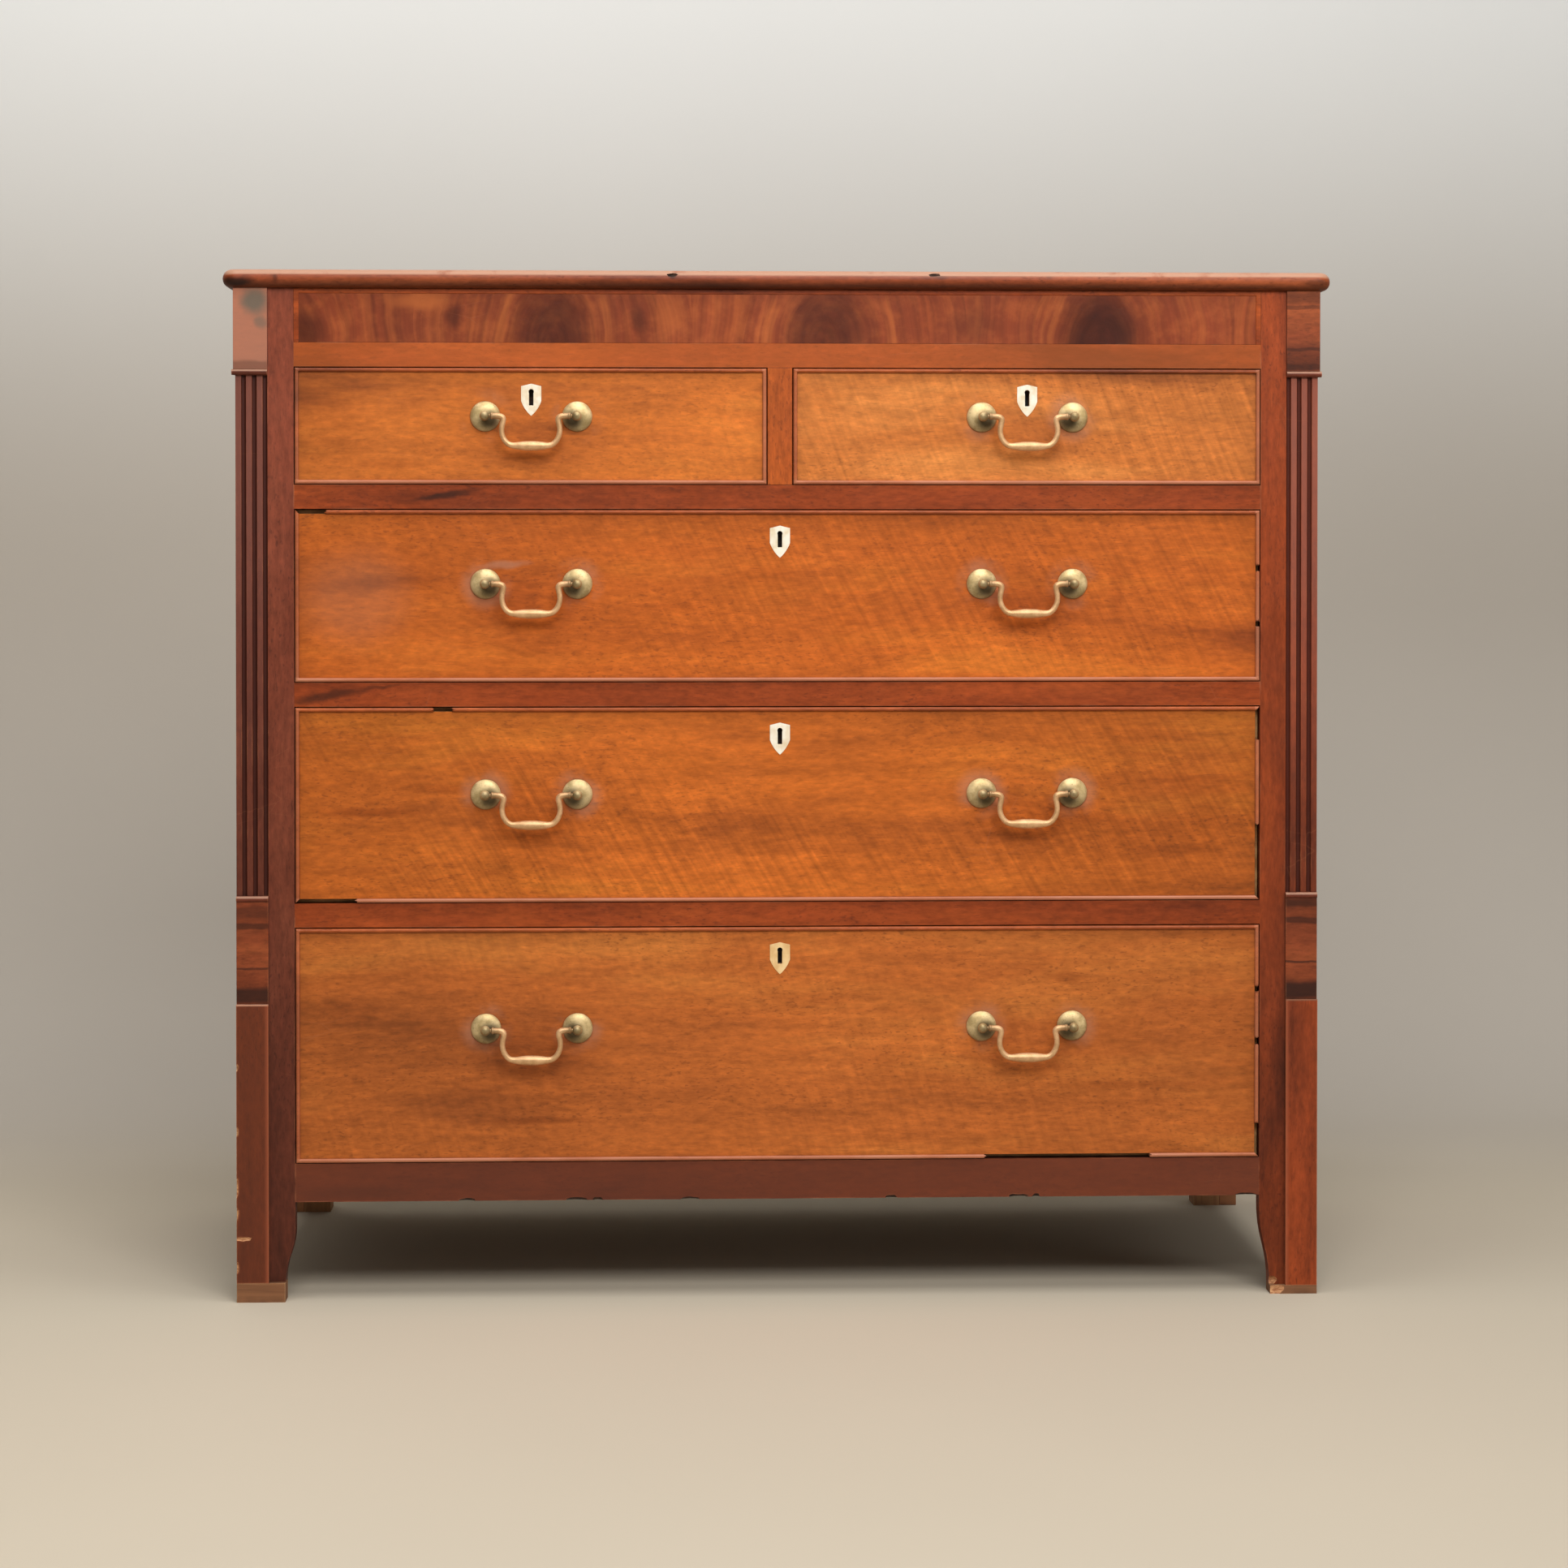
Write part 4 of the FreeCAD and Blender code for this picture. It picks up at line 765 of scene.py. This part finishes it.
def ease_edges(node, width):
    """Takes the sharpness off a piece's edges, as hand planing and years of use do."""
    piece = frame["nodes"][node]
    flat = piece.modifiers.new("flats", "DECIMATE")
    flat.decimate_type = "DISSOLVE"
    flat.angle_limit = math.radians(0.4)
    flat.delimit = {"MATERIAL"}
    eased = piece.modifiers.new("eased_edges", "BEVEL")
    eased.width = width
    eased.segments = 2
    eased.limit_method = "ANGLE"
    eased.angle_limit = math.radians(40)
    shading = piece.modifiers.new("flat_faces", "WEIGHTED_NORMAL")
    shading.keep_sharp = False


def ring_of_points(form, x, y, z, radius, count):
    """Points of a circle about an axis along y."""
    turns = [math.tau * k / count for k in range(count)]
    return [form.verts.new((x + radius * math.cos(a), y, z + radius * math.sin(a))) for a in turns]


def join_rings(form, rings, closed):
    """Faces between each ring of points and the next. A ring of one point makes a tip."""
    steps = max(len(ring) for ring in rings)
    pairs = list(zip(rings, rings[1:]))
    if closed:
        pairs.append((rings[-1], rings[0]))
    for first, second in pairs:
        for k in range(steps):
            corners = [first[k % len(first)], first[(k + 1) % len(first)],
                       second[(k + 1) % len(second)], second[k % len(second)]]
            form.faces.new(list(dict.fromkeys(corners)))


def crisp_edges(piece, angle):
    """Smooth shading that stops at edges sharper than an angle in degrees."""
    piece.data.shade_smooth()
    crisp = piece.modifiers.new("crisp_edges", "EDGE_SPLIT")
    crisp.split_angle = math.radians(angle)


def bead_strip(form, profile, start, end, place, rng):
    """Length of cock bead between two (position, is mitred) ends. An end without a mitre has splintered."""
    splinter = 3.0 * MM
    rings = []
    for (position, mitred), inwards in ((start, 1), (end, -1)):
        ring = []
        for across, y in profile:
            shift = across if mitred else rng.uniform(0.0, splinter)
            x, z = place(position + inwards * shift, across)
            ring.append(form.verts.new((x, y, z)))
        rings.append(ring)
    join_rings(form, rings, closed=False)
    for ring in rings:
        form.faces.new(ring)


def cock_beads(drawer, material, lost):
    """Round-nosed beads in the edges of a drawer front, without the lost stretches: (edge, from, to)."""
    low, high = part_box(drawer + "_cock_beads")
    nose = BEAD_WIDTH / 2
    turns = [math.pi * k / 10 for k in range(11)]
    profile = [(nose - nose * math.cos(a), low.y + nose - nose * math.sin(a)) for a in turns]
    profile += [(BEAD_WIDTH, high.y), (0.0, high.y)]
    edges = {"bottom": (low.x, high.x, lambda run, across: (run, low.z + across)),
             "top": (low.x, high.x, lambda run, across: (run, high.z - across)),
             "left": (low.z, high.z, lambda run, across: (low.x + across, run)),
             "right": (low.z, high.z, lambda run, across: (high.x - across, run))}

    def build(form):
        rng = random.Random(5)
        for edge, (first, last, place) in edges.items():
            start = (first, True)
            for begin, finish in sorted((b * MM, f * MM) for e, b, f in lost if e == edge):
                if begin > first + BEAD_WIDTH:
                    bead_strip(form, profile, start, (begin, False), place, rng)
                start = (finish, False)
            if start[0] < last - BEAD_WIDTH:
                bead_strip(form, profile, start, (last, True), place, rng)

    piece = add_mesh(drawer + "_bead_strips", build)
    piece.data.materials.append(material)
    crisp_edges(piece, 40)
    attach(piece, drawer + "_drawer")
    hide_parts(drawer + "_cock_beads")


def turn_on_lathe(form, profile, x, z, closed, steps=48):
    """Turned shape about an axis out of the drawer face, from (radius, height) points in millimetres."""
    rings = [ring_of_points(form, x, FACE - height * MM, z, radius * MM, steps if radius else 1)
             for radius, height in profile]
    join_rings(form, rings, closed)


def rosette_profile():
    """Domed backplate with a thin lip, as (radius, height)."""
    lip = [(3.1, 0.0), (15.6, 0.0), (15.7, 0.3), (15.7, 0.8)]
    dome = [(15.5, 1.3), (15.0, 1.95), (14.1, 2.75), (12.8, 3.5), (11.1, 4.15), (9.2, 4.65), (7.2, 5.0),
            (5.4, 5.25), (4.2, 5.4), (3.1, 5.4)]
    return lip + dome


def post_profile():
    """Handle post: threaded end, stem, slim neck and round head, as (radius, height)."""
    pin, ball = PIN_REACH / MM, 5.15
    stem = [(0.0, -27.5), (2.5, -27.5), (3.0, -27.0), (3.0, 5.6), (3.5, 6.2), (3.5, 6.9), (2.9, 7.6),
            (2.7, 9.4), (3.1, 11.6)]
    angles = [math.radians(a) for a in range(-50, 90, 10)]
    return stem + [(ball * math.cos(a), pin + ball * math.sin(a)) for a in angles] + [(0.0, pin + ball)]


def six_sided_nut(form, x, z, inner_face):
    """Nut behind the drawer front, with its corners eased."""
    corner, thickness, hole = 5.77 * MM, 4.0 * MM, 3.05 * MM
    profile = ((corner, 0.0), (corner, 0.8 * thickness), (0.84 * corner, thickness), (hole, thickness),
               (hole, 0.0))
    rings = [ring_of_points(form, x, inner_face + y, z, radius, 6) for radius, y in profile]
    join_rings(form, rings, closed=True)


def handle_mounts(drawer, material):
    """Rosettes, posts and nuts of a drawer's handles."""
    inner_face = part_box(drawer + "_drawer_front")[1].y

    def build(form):
        for pivot in bails_of(drawer).values():
            for side in (-1, 1):
                x = pivot.x + side * POST_SPREAD
                turn_on_lathe(form, rosette_profile(), x, pivot.z, closed=True)
                turn_on_lathe(form, post_profile(), x, pivot.z, closed=False, steps=32)
                six_sided_nut(form, x, pivot.z, inner_face)

    piece = add_mesh(drawer + "_rosettes_and_posts", build)
    piece.data.materials.append(material)
    crisp_edges(piece, 50)
    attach(piece, drawer + "_drawer")
    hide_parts(drawer + "_handle_mounts")


def swan_neck_bail(name, pivot, material):
    """Drop handle drawn as one swelling rod: grip, bowed arms, curls and the pins in the posts."""
    grip = [(0, 31, 5.0), (6, 31, 4.9), (12, 31, 4.2), (17, 30.9, 3.4), (21.5, 30.2, 3.0)]
    arm = [(25.6, 27.2, 2.9), (28.6, 22.4, 2.85), (30.0, 17, 2.8), (29.8, 11.8, 2.85), (28.9, 7.6, 2.95)]
    curl = [(28.2, 4.2, 3.15), (29.0, 1.6, 3.25), (32.0, 0.3, 3.15), (36, 0, 3.0), (38.6, 0, 3.0)]
    pin = [(39.4, 0, 3.5), (40.9, 0, 3.5), (41.2, 0, 2.0), (44, 0, 2.0), (50.5, 0, 2.0)]
    half = grip + arm + curl + pin
    rod = [(-x, drop, radius) for x, drop, radius in reversed(half[1:])] + half
    curve = bpy.data.curves.new(name + "_line", "CURVE")
    curve.dimensions = "3D"
    curve.bevel_depth = MM
    curve.bevel_resolution = 7
    curve.resolution_u = 5
    curve.use_fill_caps = True
    spline = curve.splines.new("NURBS")
    spline.points.add(len(rod) - 1)
    for point, (x, drop, radius) in zip(spline.points, rod):
        point.co = (pivot.x + x * MM, pivot.y, pivot.z - drop * MM, 1.0)
        point.radius = radius
    spline.order_u = 3
    spline.use_endpoint_u = True
    line = add_object(name + "_line", curve)
    bpy.context.view_layer.update()
    mesh = bpy.data.meshes.new_from_object(line.evaluated_get(bpy.context.evaluated_depsgraph_get()))
    bpy.data.objects.remove(line)
    mesh.materials.clear()
    mesh.materials.append(material)
    piece = add_object(name + "_rod", mesh)
    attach(piece, name)
    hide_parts(name)


# Stage


def floor_and_backdrop():
    """Pale paper that runs along the floor and sweeps up behind the chest."""
    half_width, near, bend, radius, height, steps = 7.0, -7.0, 0.75, 0.7, 5.0, 24
    angles = [math.pi / 2 * k / steps for k in range(steps + 1)]
    line = [(near, 0.0)] + [(bend + radius * math.sin(a), radius - radius * math.cos(a)) for a in angles]
    line.append((bend + radius, height))

    def build(form):
        rows = [[form.verts.new((side * half_width, y, z)) for side in (-1, 1)] for y, z in line]
        for first, second in zip(rows, rows[1:]):
            form.faces.new((first[0], first[1], second[1], second[0]))

    sweep = add_mesh("paper_sweep", build, closed=False)
    sweep.data.shade_smooth()
    material, n, shader, place = new_material("grey_paper")
    x, y, z = n.split(place)
    colour = n.mix(n.spread(y, 0.2, bend + 0.3), tint(191, 180, 161), tint(185, 177, 166))
    # Painted light: the paper is paler higher up
    colour = n.mix(n.spread(z, 0.75, 1.9), colour, tint(242, 243, 241))
    # Painted light: paler to the left, darker to the right
    colour = n.scaled(colour, n.spread(x, -1.1, 1.2, 1.08, 0.92))
    n.feed(shader["Base Color"], n.scaled(colour, n.swing(n.noise(place, 1.3, 3.0), 0.08)))
    shader["Roughness"].default_value = 0.9
    shader["Specular IOR Level"].default_value = 0.1
    front = material.node_tree.nodes["Principled BSDF"].outputs[0]
    clear = n.add("BsdfTransparent").outputs[0]
    behind = n.add("NewGeometry").outputs["Backfacing"]
    one_sided = n.add("MixShader", {0: behind, 1: front, 2: clear}).outputs[0]
    n.feed(material.node_tree.nodes["Material Output"].inputs["Surface"], one_sided)
    sweep.data.materials.append(material)


def soft_lamp(name, place, aim, size, power):
    lamp = bpy.data.lights.new(name, "AREA")
    lamp.shape = "RECTANGLE"
    lamp.size, lamp.size_y = size
    lamp.energy = power
    holder = add_object(name, lamp)
    holder.location = place
    holder.rotation_euler = (Vector(aim) - Vector(place)).to_track_quat("-Z", "Y").to_euler()
    holder.visible_camera = False


def studio():
    world = bpy.data.worlds.new("soft_room")
    world.use_nodes = True
    background = world.node_tree.nodes["Background"].inputs
    background["Color"].default_value = tint(255, 252, 247)
    background["Strength"].default_value = 0.18
    bpy.context.scene.world = world
    middle = (0.0, -0.25, 0.6)
    soft_lamp("front_box", (0.35, -2.95, 2.75), middle, (2.2, 1.4), 87)
    soft_lamp("overhead_box", (0.0, -0.9, 3.3), (0.0, -0.7, 0.0), (3.0, 1.6), 63)
    soft_lamp("right_fill", (3.0, -2.4, 1.5), middle, (1.4, 1.8), 16)
    bpy.context.scene.view_settings.view_transform = "Standard"


def camera():
    """Long lens a little left of the middle, level with the upper drawer, shifted down to keep uprights."""
    eye = (-0.1347, -3.7472, 0.7658)
    swing, dip = math.radians(2.276), math.radians(0.894)
    ahead = Vector((math.sin(swing) * math.cos(dip), math.cos(swing) * math.cos(dip), -math.sin(dip)))
    lens = bpy.data.cameras.new("front_view")
    lens.sensor_width = 36.0
    lens.lens = 77.2
    lens.shift_y = -0.1074
    view = add_object("front_view", lens)
    view.location = eye
    view.rotation_euler = ahead.to_track_quat("-Z", "Y").to_euler()
    bpy.context.scene.camera = view


# Putting it together


def finish_with(material, *nodes):
    for node in nodes:
        piece = frame["nodes"][node]
        piece.data.materials.clear()
        piece.data.materials.append(material)


def veneer_fronts():
    """Each front has its own figure, light, dark patches and haze."""
    drawer_veneer(
        "short_left",
        Figure((214, 128, 50), (193, 105, 39), (148, 76, 30), ripple=0.3, streaks=0.36, pores=0.5),
        light=(0.1, -0.04, 0.0), dark=((-470, 900, 70, 60, 0, 0.3), (-410, 868, 60, 9, 0, 0.35)))
    drawer_veneer(
        "short_right",
        Figure((212, 132, 64), (191, 109, 47), (148, 79, 34), ripple=0.9, lean=0.4, streaks=0.36),
        light=(-0.06, -0.04, 0.0), dark=((330, 900, 60, 8, 0, 0.2),))
    drawer_veneer(
        "upper",
        Figure((205, 112, 37), (184, 92, 29), (138, 64, 22), ripple=0.7, lean=0.5, streaks=0.36),
        light=(0.04, -0.12, 0.1),
        dark=((-430, 745, 80, 12, 0, 0.4), (352, 735, 12, 42, 0, 0.35), (-120, 720, 90, 6, 0, 0.25),
              (0, 730, 500, 110, 0, 0.1)),
        haze=((-285, 764, 34, 6, 4, 0.5), (-440, 730, 80, 70, 0, 0.2)))
    drawer_veneer(
        "middle",
        Figure((209, 121, 40), (184, 95, 31), (134, 66, 22), zones=1.05, ripple=0.9, lean=0.6, streaks=0.42),
        light=(-0.06, -0.06, 0.24),
        dark=((-430, 507, 80, 7, 0, 0.55), (-350, 532, 70, 7, 0, 0.4), (420, 541, 90, 10, 0, 0.5),
              (330, 500, 70, 9, 0, 0.4), (410, 466, 80, 13, 0, 0.35), (400, 520, 150, 100, 0, 0.3)))
    drawer_veneer(
        "lower",
        Figure((200, 119, 51), (176, 94, 38), (130, 67, 28), zones=1.05, ripple=0.4, streaks=0.4),
        light=(0.0, 0.0, 0.16),
        dark=((300, 332, 32, 9, 0, 0.5), (-250, 186, 70, 5, 0, 0.45), (350, 220, 90, 6, 0, 0.35),
              (-450, 300, 60, 22, 0, 0.3)))


def dress_drawers():
    """Beads with their lost stretches, boxes, shields, locks and handles of the drawers."""
    lost_beads = {
        "upper": (("top", -504, -472), ("right", 700, 704), ("right", 758, 763)),
        "middle": (("right", 582, 618), ("right", 410, 492), ("bottom", -504, -441), ("top", -359, -341)),
        "lower": (("bottom", 216, 387), ("right", 142, 178), ("right", 262, 268), ("right", 318, 322))}
    bead_figure = Figure((182, 94, 44), (156, 76, 36), (104, 48, 25), ripple=0.0)
    bone = old_bone("shield_bone", (246, 238, 220), (228, 208, 172))
    yellow_bone = old_bone("yellowed_bone", (240, 206, 150), (222, 178, 118))
    iron = dark_iron("lock_iron")
    pine = raw_pine("drawer_pine", rings=110.0, by_face=True)
    for drawer in DRAWERS:
        bead = mahogany(drawer + "_bead_mahogany", bead_figure, gloss=0.4, wear=0.15, wear_width=1.0 * MM,
                        grime=0.25, tone=bead_highlight_and_wear(drawer))
        cock_beads(drawer, bead, lost_beads.get(drawer, ()))
        finish_with(pine, drawer + "_drawer_box")
        finish_with(yellow_bone if drawer == "lower" else bone, drawer + "_escutcheon")
        finish_with(iron, drawer + "_lock_case", drawer + "_lock_bolt")
        level = pin_level(drawer)
        plate = old_brass(drawer + "_rosette_brass", (226, 199, 147), (188, 161, 108), (58, 46, 24), level)
        rod = old_brass(drawer + "_bail_brass", (224, 180, 132), (200, 156, 108), (96, 76, 42), level)
        handle_mounts(drawer, plate)
        for name, pivot in bails_of(drawer).items():
            swan_neck_bail(name, pivot, rod)


def dress_case():
    """Finishes of the case. Marks are given as for patches."""
    left = Figure((136, 71, 49), (114, 55, 37), (76, 36, 24), ripple=0.1)
    right = Figure((158, 70, 28), (132, 56, 24), (86, 36, 18), ripple=0.1)
    divider = Figure((196, 98, 36), (172, 82, 29), (120, 54, 22), ripple=0.1)
    block = Figure((160, 82, 44), (132, 62, 34), (80, 38, 22), zones=1.4, ripple=0.1)
    top = Figure((164, 84, 46), (136, 64, 34), (92, 42, 24), ripple=0.2)
    side = Figure((166, 80, 44), (138, 62, 36), (90, 40, 26), zones=1.5)
    rear = Figure((126, 78, 50), (104, 62, 40), (72, 42, 28), ripple=0.0)
    rail_marks = ((-349, 836, 52, 5, 9, 0.75), (-470, 628, 62, 7, 9, 0.7), (-420, 636, 40, 3, 9, 0.5),
                  (-440, 112, 90, 12, 0, 0.5))
    top_marks = ((-560, 1056, 26, 8, 0, 0.9), (-521, 1060, 5, 7, 0, 0.55), (-112, 1063, 8, 5, 0, 0.7),
                 (168, 1063, 14, 4, 0, 0.5), (280, 1064, 6, 3, 0, 0.35), (560, 1058, 20, 6, 0, 0.5))
    bottom_pine = pine_colours((116, 86, 58), (86, 58, 38), (82, 66, 52))
    block_pine = pine_colours((172, 122, 80), (140, 94, 60), (128, 90, 60))
    pad_wood = pine_colours((138, 92, 60), (110, 70, 45), (98, 69, 49))

    def in_mahogany(node, name, figure, **look):
        finish_with(mahogany(name + "_mahogany", figure, **look), node)

    in_mahogany("front_rails", "rail", RAIL_FIGURE, marks=rail_marks, tone=rail_tones)
    in_mahogany("centre_divider", "divider", divider, grain="z")
    in_mahogany("left_corner_post", "left_post", left, grain="z", rise=0.9, tone=fluted, grime=0.5)
    in_mahogany("right_corner_post", "right_post", right, grain="z", rise=0.5, tone=fluted, grime=0.5)
    in_mahogany("plinth_facings", "plinth", right, grain="z", tone=plinth_tones, wear=0.65, bloom=0.8)
    in_mahogany("corner_blocks", "block", block, rise=0.5, tone=cross_banded)
    in_mahogany("corner_astragals", "astragal", left, wear=0.5, bloom=0.62)
    in_mahogany("top_board", "top", top, marks=top_marks, tone=darker_below, wear=0.2, bloom=0.85,
                bloom_start=0.25)
    in_mahogany("side_panels", "side", side, grain="z")
    in_mahogany("rear_posts", "rear_post", rear, grain="z", gloss=0.6, tone=lit_rear_feet)
    finish_with(frieze_flame(), "frieze_panel")
    finish_with(raw_pine("case_pine"), "back_boards", "drawer_stops")
    finish_with(raw_pine("bottom_pine", colours=bottom_pine), "carcase_bottom")
    finish_with(raw_pine("runner_pine", grain="y"), "runners_and_guides")
    finish_with(raw_pine("block_pine", grain="z", rings=140.0, colours=block_pine), "glue_blocks")
    finish_with(raw_pine("pad_wood", rings=160.0, colours=pad_wood), "foot_pads")


def knock_case(dark, fresh):
    """Chips and dents of the case: middles and reaches in millimetres."""
    apron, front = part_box("front_rails")[0].z / MM, RAIL_FACE / MM
    top_edge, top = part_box("top_board")[0].y / MM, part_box("top_board")[1].z / MM
    plinth_side, plinth_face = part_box("plinth_facings")[0].x / MM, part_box("plinth_facings")[0].y / MM
    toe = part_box("right_corner_post")[0].x / MM + 12.0
    apron_chips = ((-326, 9), (-213, 13), (-190, 6), (-94, 10), (116, 7), (249, 12), (268, 5), (489, 15))
    top_chips = ((-112, 5, 6), (160, 4, 7))
    plinth_chips = ((244, 4), (177, 6), (120, 11), (92, 8), (36, 7))
    on_plinth = [((plinth_side, plinth_face, z), (2.4, 2.4, reach)) for z, reach in plinth_chips]
    on_plinth.append(((plinth_side + 7, plinth_face, 66), (9, 1.2, 2.5)))
    chip_out("front_rails", dark, [((x, front, apron), (reach, 5, 3.5)) for x, reach in apron_chips])
    chip_out("top_board", dark,
             [((x, top_edge + 1, top - drop), (reach, 3, 2.5)) for x, drop, reach in top_chips])
    chip_out("plinth_facings", fresh, on_plinth)
    chip_out("right_corner_post", fresh, [((toe, front, 13), (7, 5, 5))])
    chip_out("foot_pads", fresh, [((toe + 4, plinth_face, 5), (10, 2, 6))])


def main():
    veneer_fronts()
    dress_drawers()
    dress_case()
    remade = ("_bail", "_handle_mounts", "_cock_beads")
    plain = [node for node in frame["nodes"] if not any(word in node for word in remade)]
    for node in plain:
        join_corners(node)
    dark = broken_wood("bruised_wood", (82, 52, 36), (38, 24, 17))
    fresh = broken_wood("torn_wood", (218, 164, 116), (158, 98, 60))
    knock_case(dark, fresh)
    for node in plain:
        small = any(word in node for word in ("escutcheon", "lock", "astragal"))
        ease_edges(node, 0.3 * MM if small else 0.8 * MM)
    floor_and_backdrop()
    studio()
    camera()


main()
